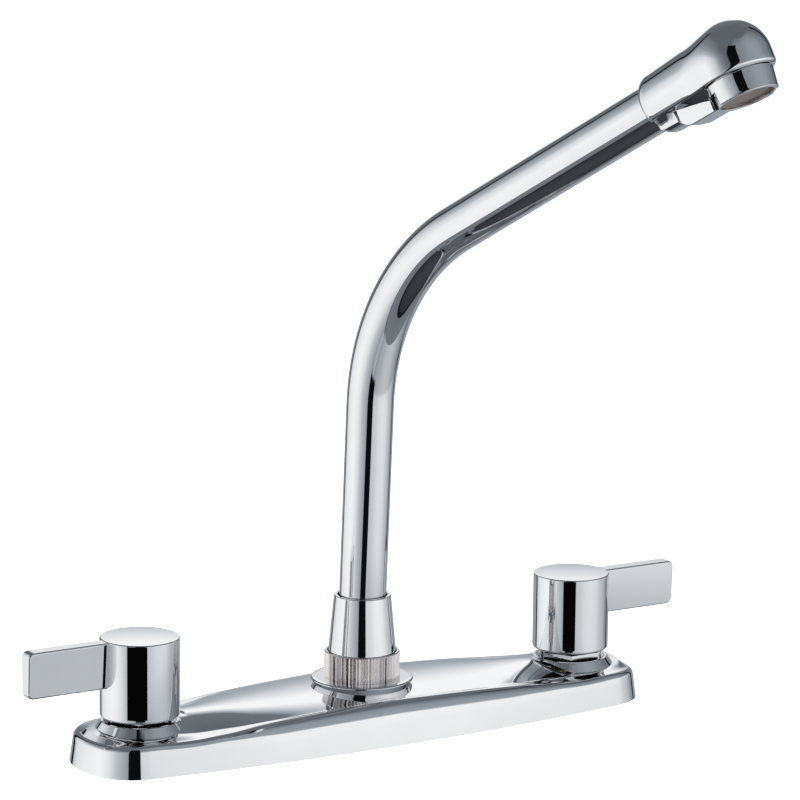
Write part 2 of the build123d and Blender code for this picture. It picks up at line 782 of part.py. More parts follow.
def aerator_housing_piece():
    """Chromed ring screwed on the outlet, with a rim inside its lip."""
    top = underside_drop + ring_gap
    with BuildPart() as aerator_housing:
        revolve(half_section([
            (spigot_radius + snug_fit, top),
            (aerator_top_radius, top),
            (aerator_lip_radius, aerator_drop - aerator_lip_height),
            (aerator_lip_radius, aerator_drop),
            (aerator_mouth_radius, aerator_drop),
            (aerator_mouth_radius, aerator_drop - aerator_seat),
            (spigot_radius + snug_fit, aerator_drop - aerator_seat),
        ], outlet_section), axis=outlet_axis)
    return aerator_housing.part


def aerator_layer(start, thickness, hole_radius, hole_circle, hole_count):
    """A disc inside the aerator with a ring of holes, or one at its middle."""
    layer_plane = Plane(origin=outlet_centre + outlet_way * start, x_dir=arm_way,
                        z_dir=outlet_way)
    with BuildPart() as layer:
        with BuildSketch(layer_plane):
            Circle(spigot_radius)
            if hole_count == 1:
                Circle(hole_radius, mode=Mode.SUBTRACT)
            elif hole_count > 1:
                with PolarLocations(hole_circle, hole_count):
                    Circle(hole_radius, mode=Mode.SUBTRACT)
        extrude(amount=thickness)
    return layer.part


os.makedirs("parts", exist_ok=True)

save(deck_plate_piece(), "deck_plate")
save(base_plate_piece(), "base_plate")
valve_stack = {
    "valve_body": valve_body_piece(),
    "seat_seal": seat_seal_piece(),
    "fixed_disc": ceramic_disc_piece(stack_bottom),
    "turning_disc": ceramic_disc_piece(turning_disc_bottom),
    "cartridge_sleeve": cartridge_sleeve_piece(),
    "stem_oring": ring_piece([oring_height], stem_radius - oring_thickness, oring_thickness),
    "bonnet_nut": bonnet_nut_piece(),
    "mounting_washer": mounting_washer_piece(),
    "mounting_nut": mounting_nut_piece(),
}
stem = stem_piece()
for name, side in sides.items():
    for piece, part in valve_stack.items():
        save(at_valve(part, side), f"{name}_{piece}")
    save(stem.moved(Location((side * valve_x, 0, 0))), f"{name}_stem")
    save(crossover_tube_piece(side), f"{name}_crossover_tube")
    save(handle_piece(name, side), f"{name}_handle")
    save(set_screw_piece(name, side), f"{name}_set_screw")
save(spout_hub_piece(), "spout_hub")
save(ring_piece(hub_oring_heights, tube_radius + snug_fit, hub_oring_thickness), "spout_orings")
save(knurled_nut_piece(), "knurled_nut")
save(keeper_ring_piece(), "keeper_ring")
save(ferrule_piece(), "ferrule")
save(spout_tube_piece(), "spout_tube")
save(spout_head_piece(), "spout_head")
save(aerator_housing_piece(), "aerator_housing")
save(aerator_layer(spigot_drop, washer_seal_thickness, spigot_bore_radius, 0, 1),
     "aerator_washer")
insert_start = spigot_drop + washer_seal_thickness
save(aerator_layer(insert_start, insert_thickness, insert_hole_radius, insert_hole_circle,
                   insert_hole_count), "aerator_insert")
screen_start = insert_start + insert_thickness
save(aerator_layer(screen_start, aerator_drop - aerator_seat - screen_start, 0, 0, 0),
     "aerator_screen")
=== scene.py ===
"""Two handle kitchen faucet on a deck plate, dressed for its picture.

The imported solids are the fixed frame. Every class below builds one
sub-assembly in that frame, in metres: the origin is the middle of the plate's
underside, -Y points to the person at the sink and +Z is up.
"""

import json
import logging
from dataclasses import dataclass, field
from enum import Enum
from math import (
    acos, atan2, copysign, cos, degrees, hypot, pi, radians, sin, sqrt, tan, tau)
from typing import Iterable, Sequence

import bmesh
import bpy
from mathutils import Matrix, Vector

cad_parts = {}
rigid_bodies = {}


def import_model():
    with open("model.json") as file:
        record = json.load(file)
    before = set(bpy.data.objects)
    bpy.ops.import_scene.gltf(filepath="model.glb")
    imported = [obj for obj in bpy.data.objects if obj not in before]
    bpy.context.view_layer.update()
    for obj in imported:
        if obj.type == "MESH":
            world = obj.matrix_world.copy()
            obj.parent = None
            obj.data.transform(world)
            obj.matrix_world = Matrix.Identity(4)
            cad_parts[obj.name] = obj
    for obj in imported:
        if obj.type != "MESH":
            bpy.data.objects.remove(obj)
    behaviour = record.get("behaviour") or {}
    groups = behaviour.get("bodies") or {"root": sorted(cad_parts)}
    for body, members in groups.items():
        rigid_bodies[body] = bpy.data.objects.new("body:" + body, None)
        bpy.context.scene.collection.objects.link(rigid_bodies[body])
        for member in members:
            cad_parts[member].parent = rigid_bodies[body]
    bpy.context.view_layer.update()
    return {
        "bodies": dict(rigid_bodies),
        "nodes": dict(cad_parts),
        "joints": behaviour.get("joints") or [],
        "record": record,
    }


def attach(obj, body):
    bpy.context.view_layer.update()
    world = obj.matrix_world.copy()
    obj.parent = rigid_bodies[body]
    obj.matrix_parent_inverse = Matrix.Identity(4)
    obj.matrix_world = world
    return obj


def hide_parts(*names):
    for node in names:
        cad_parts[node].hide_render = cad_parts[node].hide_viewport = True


log = logging.getLogger("faucet")

MM = 0.001
VALVE_X = 101.6
Point2 = tuple[float, float]
Point3 = tuple[float, float, float]
Colour = tuple[float, float, float, float]
Inputs = dict[str | int, object]
Socket = bpy.types.NodeSocket
Tree = bpy.types.NodeTree
Node = bpy.types.Node
Thing = bpy.types.Object
Material = bpy.types.Material


class Side(Enum):
    """The two handles, by the water that they turn on."""

    HOT = -1
    COLD = 1

    @property
    def label(self) -> str:
        """The word that the side's nodes and pieces start with."""
        return self.name.lower()
    def stand(self) -> Matrix:
        """Where the side's valve stands, in metres."""
        return Matrix.Translation((self.value * VALVE_X * MM, 0, 0))



class Slot(Enum):
    """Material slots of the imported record."""

    CHROME = "polished_chrome"
    KNURL = "knurled_chrome"
    BRASS = "brass"
    COPPER = "copper_tube"
    WHITE_PLASTIC = "white_plastic"
    GREY_PLASTIC = "grey_plastic"
    RUBBER = "rubber"
    CERAMIC = "ceramic_disc"
    STEEL = "steel"


# --- Node helpers -------------------------------------------------------------


def fill(tree: Tree, node: Node, inputs: Inputs) -> Node:
    """Fill a node's inputs with values or linked sockets and give the node.

    Args:
        tree: The node tree to add to.
        node: The node to fill.
        inputs: Socket names or numbers, each with a value or a socket.

    Returns:
        The same node.
    """
    for label, value in inputs.items():
        if isinstance(value, Socket):
            tree.links.new(value, node.inputs[label])
        else:
            node.inputs[label].default_value = value
    return node


def add_node(tree: Tree, kind: str, inputs: Inputs | None = None, **settings: object) -> Node:
    """Add a node to a tree.

    Args:
        tree: The node tree to add to.
        kind: The node's type name.
        inputs: Socket names or numbers, each with a value or a socket to link.
        **settings: Property names and their values, set before the inputs.

    Returns:
        The new node.
    """
    node = tree.nodes.new(kind)
    for name, value in settings.items():
        setattr(node, name, value)
    return fill(tree, node, inputs or {})


def new_group(kind: str, name: str, inputs: dict[str, float | str],
              outputs: dict[str, str]) -> tuple[Tree, Node, Node]:
    """Start a node group.

    Args:
        kind: The tree's type name.
        name: The group's name.
        inputs: Names of its inputs, each with a default number or a socket type.
        outputs: Names of its outputs with their socket types.

    Returns:
        The group, its input node and its output node.
    """
    group = bpy.data.node_groups.new(name, kind)
    for label, value in inputs.items():
        plain = isinstance(value, str)
        sort = value if plain else type(value).__name__.title()
        socket = group.interface.new_socket(label, in_out="INPUT",
                                            socket_type=f"NodeSocket{sort}")
        if not plain:
            socket.default_value = value
    for label, sort in outputs.items():
        group.interface.new_socket(label, in_out="OUTPUT", socket_type=f"NodeSocket{sort}")
    return group, add_node(group, "NodeGroupInput"), add_node(group, "NodeGroupOutput")


def maths(tree: Tree, operation: str, *values: object) -> Socket:
    """Add a math node on numbers or sockets and give its result."""
    return add_node(tree, "ShaderNodeMath", dict(enumerate(values)),
                    operation=operation).outputs[0]


def mixed(tree: Tree, factor: Socket, first: object, second: object) -> Socket:
    """Mix two colours or sockets and give the result."""
    return add_node(tree, "ShaderNodeMix", {"Factor": factor, 6: first, 7: second},
                    data_type="RGBA").outputs[2]


def own_place(tree: Tree) -> Socket:
    """The place on the object, in its own coordinates."""
    return add_node(tree, "ShaderNodeTexCoord").outputs["Object"]


def noise(tree: Tree, place: Socket, scale: float, detail: float) -> Socket:
    """Read a noise texture at a place."""
    return add_node(tree, "ShaderNodeTexNoise",
                    {"Vector": place, "Scale": scale, "Detail": detail}).outputs["Fac"]


def ramp(tree: Tree, value: Socket, low: float, high: float, to_low: float = 0.0,
         to_high: float = 1.0) -> Socket:
    """Map a value's range onto another and give the result.

    Args:
        tree: The node tree to add to.
        value: The socket to map.
        low: Start of its range.
        high: End of its range.
        to_low: What the start becomes.
        to_high: What the end becomes.

    Returns:
        The mapped value's socket.
    """
    return add_node(tree, "ShaderNodeMapRange", {
        "Value": value, "From Min": low, "From Max": high, "To Min": to_low,
        "To Max": to_high}).outputs["Result"]


def handling_marks_group() -> Tree:
    """Faint smears, specks and slow waviness of a polished or moulded surface.

    Returns:
        A group with the inputs Roughness, Smears and Wave, and the outputs
        Roughness and Height.
    """
    group, start, end = new_group(
        "ShaderNodeTree", "handling_marks", {"Roughness": 0.04, "Smears": 0.03, "Wave": 1.0},
        {"Roughness": "Float", "Height": "Float"})
    place, smears = own_place(group), start.outputs["Smears"]
    broad = ramp(group, noise(group, place, scale=38.0, detail=3.0), 0.45, 0.75)
    specks = ramp(group, noise(group, place, scale=900.0, detail=1.0), 0.62, 0.7)
    waves = noise(group, place, scale=55.0, detail=0.0)
    marks = maths(group, "MULTIPLY_ADD", specks, smears, maths(group, "MULTIPLY", broad, smears))
    fill(group, end, {"Roughness": maths(group, "ADD", marks, start.outputs["Roughness"]),
                      "Height": maths(group, "MULTIPLY", waves, start.outputs["Wave"])})
    return group


def turning_lines_group() -> Tree:
    """Fine rings that a lathe leaves, square to a piece's own Z axis.

    Returns:
        A group with the inputs Rings and Depth and the output Height.
    """
    group, start, end = new_group("ShaderNodeTree", "turning_lines",
                                  {"Rings": 4000.0, "Depth": 1.0}, {"Height": "Float"})
    up = add_node(group, "ShaderNodeSeparateXYZ", {0: own_place(group)}).outputs["Z"]
    line = add_node(group, "ShaderNodeCombineXYZ",
                    {"Z": maths(group, "MULTIPLY", up, start.outputs["Rings"])}).outputs[0]
    rings = noise(group, line, scale=1.0, detail=2.0)
    fill(group, end, {"Height": maths(group, "MULTIPLY", rings, start.outputs["Depth"])})
    return group


def new_material(name: str) -> tuple[Material, Tree]:
    """Start a material and give it with its node tree.

    Args:
        name: The material's name.

    Returns:
        The material and its node tree.
    """
    made = bpy.data.materials.new(name)
    made.use_nodes = True
    return made, made.node_tree


@dataclass(frozen=True)
class Finish:
    """One finish: a Principled shader with its own marks.

    Attributes:
        slot: The record's material slot that it stands for.
        colour: Base colour.
        tint: Second colour that broad patches lean to.
        metallic: Metallic value.
        roughness: Roughness before the marks are added.
        smears: How much the marks roughen it.
        wave: Height of the slow waviness, in millimetres.
        turned: True for a finish that shows lathe rings.
        label: Name of the material, where it isn't the slot's.
    """

    slot: Slot
    colour: Colour
    tint: Colour
    metallic: float = 0.0
    roughness: float = 0.4
    smears: float = 0.08
    wave: float = 0.01
    turned: bool = False
    label: str = ""

    def material(self, groups: dict[str, Tree]) -> Material:
        """Build the material.

        Args:
            groups: The shared shader groups by name.

        Returns:
            The finished material.
        """
        made, tree = new_material(self.label or self.slot.value)
        patches = ramp(tree, noise(tree, own_place(tree), scale=60.0, detail=3.0), 0.35, 0.7)
        marks = add_node(tree, "ShaderNodeGroup", {
            "Roughness": self.roughness, "Smears": self.smears, "Wave": self.wave},
            node_tree=groups["handling_marks"])
        normal = add_node(tree, "ShaderNodeBump", {
            "Distance": MM, "Height": marks.outputs["Height"]}).outputs["Normal"]
        if self.turned:
            lines = add_node(tree, "ShaderNodeGroup", {"Depth": 0.02},
                             node_tree=groups["turning_lines"])
            normal = add_node(tree, "ShaderNodeBump", {
                "Distance": MM, "Height": lines.outputs["Height"],
                "Normal": normal}).outputs["Normal"]
        fill(tree, tree.nodes["Principled BSDF"], {
            "Base Color": mixed(tree, patches, self.colour, self.tint),
            "Metallic": self.metallic, "Roughness": marks.outputs["Roughness"],
            "Normal": normal})
        return made


FINISHES = (
    Finish(Slot.CHROME, (0.85, 0.855, 0.86, 1), (0.83, 0.835, 0.845, 1), 1.0, 0.025, 0.02, 0.0006),
    Finish(Slot.KNURL, (0.95, 0.90, 0.88, 1), (0.80, 0.72, 0.69, 1), 1.0, 0.2, 0.08, 0.002),
    Finish(Slot.BRASS, (0.80, 0.60, 0.30, 1), (0.70, 0.50, 0.24, 1), 1.0, 0.3, 0.12, 0.01,
           turned=True),
    Finish(Slot.COPPER, (0.85, 0.48, 0.33, 1), (0.70, 0.36, 0.24, 1), 1.0, 0.28, 0.12, 0.01),
    Finish(Slot.WHITE_PLASTIC, (0.80, 0.80, 0.78, 1), (0.76, 0.76, 0.73, 1), 0.0, 0.42, 0.1),
    Finish(Slot.GREY_PLASTIC, (0.07, 0.06, 0.055, 1), (0.04, 0.035, 0.03, 1), 0.0, 0.5, 0.1),
    Finish(Slot.RUBBER, (0.03, 0.03, 0.03, 1), (0.05, 0.05, 0.05, 1), 0.0, 0.65, 0.15),
    Finish(Slot.CERAMIC, (0.82, 0.80, 0.76, 1), (0.79, 0.77, 0.72, 1), 0.0, 0.2, 0.05),
    Finish(Slot.STEEL, (0.62, 0.61, 0.60, 1), (0.52, 0.51, 0.49, 1), 1.0, 0.3, 0.12, 0.01,
           turned=True),
)
SCREEN_WIRE = Finish(Slot.STEEL, (0.62, 0.54, 0.48, 1), (0.34, 0.28, 0.24, 1), 1.0, 0.35, 0.15,
                     0.01, label="screen_wire")


# --- Geometry node trees ------------------------------------------------------


@dataclass
class GrowthTree:
    """A geometry node tree that adds repeated detail to a base mesh.

    Attributes:
        name: The tree's name.
        inputs: Names and default values of its inputs; whole numbers are counts.
    """

    name: str
    inputs: dict[str, float]

    def __post_init__(self) -> None:
        """Start the tree with its sockets."""
        self.tree, self.start, self.end = new_group(
            "GeometryNodeTree", self.name,
            {"Geometry": "Geometry", **self.inputs, "Material": "Material"},
            {"Geometry": "Geometry"})

    def given(self, label: str) -> Socket:
        """The socket of one of the tree's inputs."""
        return self.start.outputs[label]

    def node(self, kind: str, inputs: Inputs | None = None, **settings: object) -> Node:
        """Add a node and fill its inputs with values or linked sockets."""
        return add_node(self.tree, kind, inputs, **settings)

    def maths(self, operation: str, *values: object) -> Socket:
        """Add a math node and give its result."""
        return maths(self.tree, operation, *values)

    def vector(self, x: object, y: object, z: object) -> Socket:
        """Combine three numbers or sockets into a vector."""
        return self.node("ShaderNodeCombineXYZ", {0: x, 1: y, 2: z}).outputs[0]

    def finish(self, *pieces: Socket) -> None:
        """Join the pieces to the base, make them real and give them their material.

        Args:
            *pieces: Sockets of the grown geometry.
        """
        join = self.node("GeometryNodeJoinGeometry")
        for piece in (*pieces, self.given("Geometry")):
            self.tree.links.new(piece, join.inputs[0])
        real = self.node("GeometryNodeRealizeInstances", {0: join.outputs[0]})
        dressed = self.node("GeometryNodeSetMaterial", {
            "Geometry": real.outputs[0], "Material": self.given("Material")})
        fill(self.tree, self.end, {0: dressed.outputs[0]})

    def grow(self, base: Thing, name: str, material: Material,
             values: dict[str, float]) -> Thing:
        """Run the tree on a base mesh and keep the result as a plain mesh.

        Args:
            base: The object that the detail is added to; it is used up.
            name: Name of the result.
            material: Material of the result.
            values: Values of the tree's inputs by name.

        Returns:
            The plain mesh object.
        """
        modifier = base.modifiers.new("growth", "NODES")
        modifier.node_group = self.tree
        given = {**values, "Material": material}
        for item in self.tree.interface.items_tree:
            if item.in_out == "INPUT" and item.name in given:
                modifier[item.identifier] = given[item.name]
        graph = bpy.context.evaluated_depsgraph_get()
        data = bpy.data.meshes.new_from_object(base.evaluated_get(graph), depsgraph=graph)
        data.name = name
        base.modifiers.remove(modifier)
        drop(base)
        return linked(name, data)


def knurl_tree() -> GrowthTree:
    """Straight ridges in a ring round Z, each one a little different.

    Returns:
        The tree, with the sizes Radius, Foot, Height, Depth and Width in metres.
    """
    tree = GrowthTree("straight_knurl", {
        "Radius": 0.015, "Foot": 0.0, "Height": 0.01, "Depth": 0.0005, "Width": 0.0006,
        "Unevenness": 0.2, "Count": 72, "Seed": 7})
    ring = tree.node("GeometryNodeMeshCircle", {"Vertices": tree.given("Count"),
                                                "Radius": tree.given("Radius")})
    ridge = tree.node("GeometryNodeMeshCylinder", {"Vertices": 4, "Radius": 1.0, "Depth": 1.0})
    number = tree.node("GeometryNodeInputIndex").outputs[0]
    angle = tree.maths("DIVIDE", tree.maths("MULTIPLY", number, tau), tree.given("Count"))
    least = tree.maths("SUBTRACT", 1.0, tree.given("Unevenness"))
    vary = tree.node("FunctionNodeRandomValue", {2: least, 3: 1.0, "Seed": tree.given("Seed")},
                     data_type="FLOAT").outputs[1]
    turn = tree.node("FunctionNodeRandomValue", {2: -0.25, 3: 0.25, "Seed": tree.given("Seed")},
                     data_type="FLOAT").outputs[1]
    scale = tree.vector(tree.maths("MULTIPLY", tree.given("Depth"), vary), tree.given("Width"),
                        tree.given("Height"))
    spread = tree.node("GeometryNodeInstanceOnPoints", {
        "Points": ring.outputs[0], "Instance": ridge.outputs[0],
        "Rotation": tree.vector(0.0, 0.0, tree.maths("ADD", angle, turn)), "Scale": scale})
    lift = tree.maths("ADD", tree.given("Foot"),
                      tree.maths("MULTIPLY", tree.given("Height"), 0.5))
    moved = tree.node("GeometryNodeTransform", {
        "Geometry": spread.outputs[0], "Translation": tree.vector(0.0, 0.0, lift)})
    tree.finish(moved.outputs[0])
    return tree


def mesh_tree() -> GrowthTree:
    """Two crossing layers of straight wires that fill a circle.

    Returns:
        The tree, with the sizes Radius, Height and Wire in metres.
    """
    tree = GrowthTree("wire_screen", {"Radius": 0.01, "Height": 0.0, "Wire": 0.00014,
                                      "Count": 30})
    pitch = tree.maths("DIVIDE", tree.maths("MULTIPLY", tree.given("Radius"), 2.0),
                       tree.given("Count"))
    first = tree.maths("SUBTRACT", tree.maths("MULTIPLY", pitch, 0.5), tree.given("Radius"))
    row = tree.node("GeometryNodeMeshLine", {
        "Count": tree.given("Count"), "Start Location": tree.vector(first, 0.0, 0.0),
        "Offset": tree.vector(pitch, 0.0, 0.0)})
    wire_mesh = tree.node("GeometryNodeMeshCylinder", {"Vertices": 8, "Radius": 1.0,
                                                       "Depth": 1.0})
    where = tree.node("ShaderNodeSeparateXYZ",
                      {0: tree.node("GeometryNodeInputPosition").outputs[0]}).outputs[0]
    half = tree.maths("SQRT", tree.maths(
        "SUBTRACT", tree.maths("POWER", tree.given("Radius"), 2.0),
        tree.maths("POWER", tree.maths("ABSOLUTE", where), 2.0)))
    wires = tree.node("GeometryNodeInstanceOnPoints", {
        "Points": row.outputs[0], "Instance": wire_mesh.outputs[0],
        "Rotation": (pi / 2, 0.0, 0.0),
        "Scale": tree.vector(tree.given("Wire"), tree.given("Wire"),
                             tree.maths("MULTIPLY", half, 2.0))})
    layers = []
    # The layers cross at right angles, one on the other.
    for turn, side in ((radians(20), 0.75), (radians(110), -0.75)):
        lift = tree.maths("ADD", tree.given("Height"),
                          tree.maths("MULTIPLY", tree.given("Wire"), side))
        layers.append(tree.node("GeometryNodeTransform", {
            "Geometry": wires.outputs[0], "Translation": tree.vector(0.0, 0.0, lift),
            "Rotation": (0.0, 0.0, turn)}).outputs[0])
    tree.finish(*layers)
    return tree


def thread_tree() -> GrowthTree:
    """A screw thread's ridge wound round Z.

    Returns:
        The tree, with the sizes Radius, Foot, Length, Pitch and Depth in metres.
    """
    tree = GrowthTree("screw_thread", {"Radius": 0.0095, "Foot": 0.0, "Length": 0.02,
                                       "Pitch": 0.0018, "Depth": 0.0009, "Steps": 40})
    turns = tree.maths("DIVIDE", tree.given("Length"), tree.given("Pitch"))
    path = tree.node("GeometryNodeCurveSpiral", {
        "Resolution": tree.given("Steps"), "Rotations": turns,
        "Start Radius": tree.given("Radius"), "End Radius": tree.given("Radius"),
        "Height": tree.given("Length")})
    ridge = tree.node("GeometryNodeCurvePrimitiveCircle", {
        "Resolution": 4, "Radius": tree.given("Depth")})
    swept = tree.node("GeometryNodeCurveToMesh", {
        "Curve": path.outputs[0], "Profile Curve": ridge.outputs[0], "Fill Caps": True})
    moved = tree.node("GeometryNodeTransform", {
        "Geometry": swept.outputs[0],
        "Translation": tree.vector(0.0, 0.0, tree.given("Foot"))})
    tree.finish(moved.outputs[0])
    return tree


@dataclass
class Workshop:
    """Holds the frame, the groups, trees and materials that the classes share."""

    frame: dict
    groups: dict[str, Tree] = field(default_factory=dict)
    finishes: dict[Slot, Material] = field(default_factory=dict)
    trees: dict[str, GrowthTree] = field(default_factory=dict)
    screen_wire: Material | None = None

    def stock(self) -> None:
        """Build the shader groups, every material and the geometry trees."""
        self.groups["handling_marks"] = handling_marks_group()
        self.groups["turning_lines"] = turning_lines_group()
        for finish in FINISHES:
            self.finishes[finish.slot] = finish.material(self.groups)
        self.screen_wire = SCREEN_WIRE.material(self.groups)
        self.trees = {"knurl": knurl_tree(), "mesh": mesh_tree(), "thread": thread_tree()}

    def dress_solids(self) -> None:
        """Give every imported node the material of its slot."""
        for row in self.frame["record"]["subparts"]:
            data = self.frame["nodes"][row["node"]].data
            data.materials.clear()
            data.materials.append(self.finishes[Slot(row["material_slot"])])
        log.info("dressed %d solids", len(self.frame["nodes"]))


# --- Mesh helpers -------------------------------------------------------------


def linked(name: str, data: bpy.types.ID) -> Thing:
    """Make an object of some data and put it in the scene.

    Args:
        name: The object's name.
        data: A mesh, camera or light.

    Returns:
        The object.
    """
    made = bpy.data.objects.new(name, data)
    bpy.context.scene.collection.objects.link(made)
    return made


def drop(piece: Thing) -> None:
    """Remove an object and its mesh.

    Args:
        piece: The object to remove.
    """
    old = piece.data
    bpy.data.objects.remove(piece)
    bpy.data.meshes.remove(old)


def from_bmesh(name: str, mesh: bmesh.types.BMesh) -> Thing:
    """Make a smooth shaded object of a bmesh and free it.

    Args:
        name: The object's name.
        mesh: The bmesh; it is used up.

    Returns:
        The object.
    """
    for face in mesh.faces:
        face.smooth = True
    data = bpy.data.meshes.new(name)
    mesh.to_mesh(data)
    mesh.free()
    return linked(name, data)


def object_from(name: str, points: Iterable[Sequence[float]],
                faces: Iterable[Sequence[int]]) -> Thing:
    """Make a smooth shaded mesh object.

    Args:
        name: The object's name.
        points: Vertex places in metres.
        faces: Vertex numbers of each face.

    Returns:
        The linked object.
    """
    data = bpy.data.meshes.new(name)
    data.from_pydata([tuple(p) for p in points], [], [tuple(f) for f in faces])
    data.validate()
    for polygon in data.polygons:
        polygon.use_smooth = True
    return linked(name, data)


def polar(radius: float, turn: float) -> Point2:
    """A place on a circle, by its angle in radians."""
    return radius * cos(turn), radius * sin(turn)


def skin(rings: int, size: int, loop: bool = False) -> list[tuple[int, ...]]:
    """Quads between rings of points that each close on themselves.

    Args:
        rings: How many rings there are.
        size: Points on each ring.
        loop: True when the last ring joins the first.

    Returns:
        Point numbers of each face.
    """
    return [(i * size + k, i * size + (k + 1) % size,
             (i + 1) % rings * size + (k + 1) % size, (i + 1) % rings * size + k)
            for i in range(rings if loop else rings - 1) for k in range(size)]


def clean(piece: Thing, merge: float = 1e-6) -> Thing:
    """Merge points closer than a distance, turn the faces outwards, give the piece.

    Args:
        piece: The object to clean.
        merge: Distance under which points become one.

    Returns:
        The same object.
    """
    mesh = bmesh.new()
    mesh.from_mesh(piece.data)
    bmesh.ops.remove_doubles(mesh, verts=mesh.verts, dist=merge)
    bmesh.ops.recalc_face_normals(mesh, faces=mesh.faces)
    mesh.to_mesh(piece.data)
    mesh.free()
    return piece


def joined(name: str, parts: Sequence[Thing]) -> Thing:
    """Join several objects' meshes into one new object and drop the old ones.

    Args:
        name: The object's name.
        parts: The objects to join; they are used up.

    Returns:
        The new object.
    """
    mesh = bmesh.new()
    for part in parts:
        mesh.from_mesh(part.data)
    made = from_bmesh(name, mesh)
    for part in parts:
        drop(part)
    return made


def corner_arc(back: Vector, ahead: Vector, radius: float) -> tuple[float, float, Vector]:
    """Find the arc that rounds a corner.

    Args:
        back: Direction from the corner to the point before it.
        ahead: Direction from the corner to the point after it.
        radius: The arc's radius.

    Returns:
        Half the corner's angle, the length cut off each side and the arc's
        centre, seen from the corner.
    """
    half = acos(max(-1.0, min(1.0, back.dot(ahead)))) / 2
    return half, radius / tan(half), (back + ahead).normalized() * (radius / sin(half))


def rounded(points: Sequence[tuple[float, float, float]], steps: int = 6,
            lead: float = 0.04) -> list[Point2]:
    """Round the corners of an open or closed outline.

    Args:
        points: Corners as (radius or x, height, corner radius).
        steps: Points on each arc.
        lead: Length of the short straight kept beside each arc.

    Returns:
        The rounded outline as plain points.
    """
    out: list[Point2] = []
    for i, (x, z, r) in enumerate(points):
        here = Vector((x, z))
        if r <= 0 or i in (0, len(points) - 1):
            out.append((x, z))
            continue
        before, after = (Vector(points[j][:2]) - here for j in (i - 1, i + 1))
        a, b = before.normalized(), after.normalized()
        half, cut, _ = corner_arc(a, b, r)
        cut = min(cut, before.length * 0.49, after.length * 0.49)
        centre = here + corner_arc(a, b, cut * tan(half))[2]
        first, last = here + a * cut, here + b * cut
        keep = min(lead, before.length * 0.01 + lead, 0.3 * (before.length - cut))
        out.append(tuple(first + a * max(keep, 0.0)))
        u, v = first - centre, last - centre
        turn = atan2(u.x * v.y - u.y * v.x, u.dot(v))
        for k in range(steps + 1):
            c, s = cos(turn * k / steps), sin(turn * k / steps)
            out.append((centre.x + u.x * c - u.y * s, centre.y + u.x * s + u.y * c))
        keep = min(lead, after.length * 0.01 + lead, 0.3 * (after.length - cut))
        out.append(tuple(last + b * max(keep, 0.0)))
    return out


def lathe(name: str, profile: Sequence[Point2], segments: int = 128,
          place: Matrix = Matrix.Identity(4), loop: bool = False) -> Thing:
    """Turn a profile about the Z axis of a place.

    Args:
        name: The object's name.
        profile: (radius, height) points in millimetres.
        segments: Steps round the axis.
        place: Where the axis stands, in metres.
        loop: True when the profile closes on itself.

    Returns:
        The turned, closed mesh.
    """
    turns = [tau * k / segments for k in range(segments)]
    return clean(object_from(name, [
        place @ Vector((*polar(radius * MM, turn), height * MM))
        for radius, height in profile for turn in turns], skin(len(profile), segments, loop)))


def put(piece: Thing, body: str, slot: Slot, shop: Workshop, stands_for: Sequence[str],
        sharp: float | None = None, material: Material | None = None) -> None:
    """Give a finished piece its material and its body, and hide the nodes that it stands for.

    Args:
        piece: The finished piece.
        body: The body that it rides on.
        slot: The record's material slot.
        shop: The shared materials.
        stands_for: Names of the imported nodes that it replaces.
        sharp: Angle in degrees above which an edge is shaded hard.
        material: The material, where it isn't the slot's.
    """
    if sharp is not None:
        piece.data.set_sharp_from_angle(angle=radians(sharp))
    piece.data.materials.clear()
    piece.data.materials.append(material or shop.finishes[slot])
    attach(piece, body)
    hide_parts(*stands_for)
    log.info("%s: %d faces on %s", piece.name, len(piece.data.polygons), body)


# --- The sub-assemblies -------------------------------------------------------


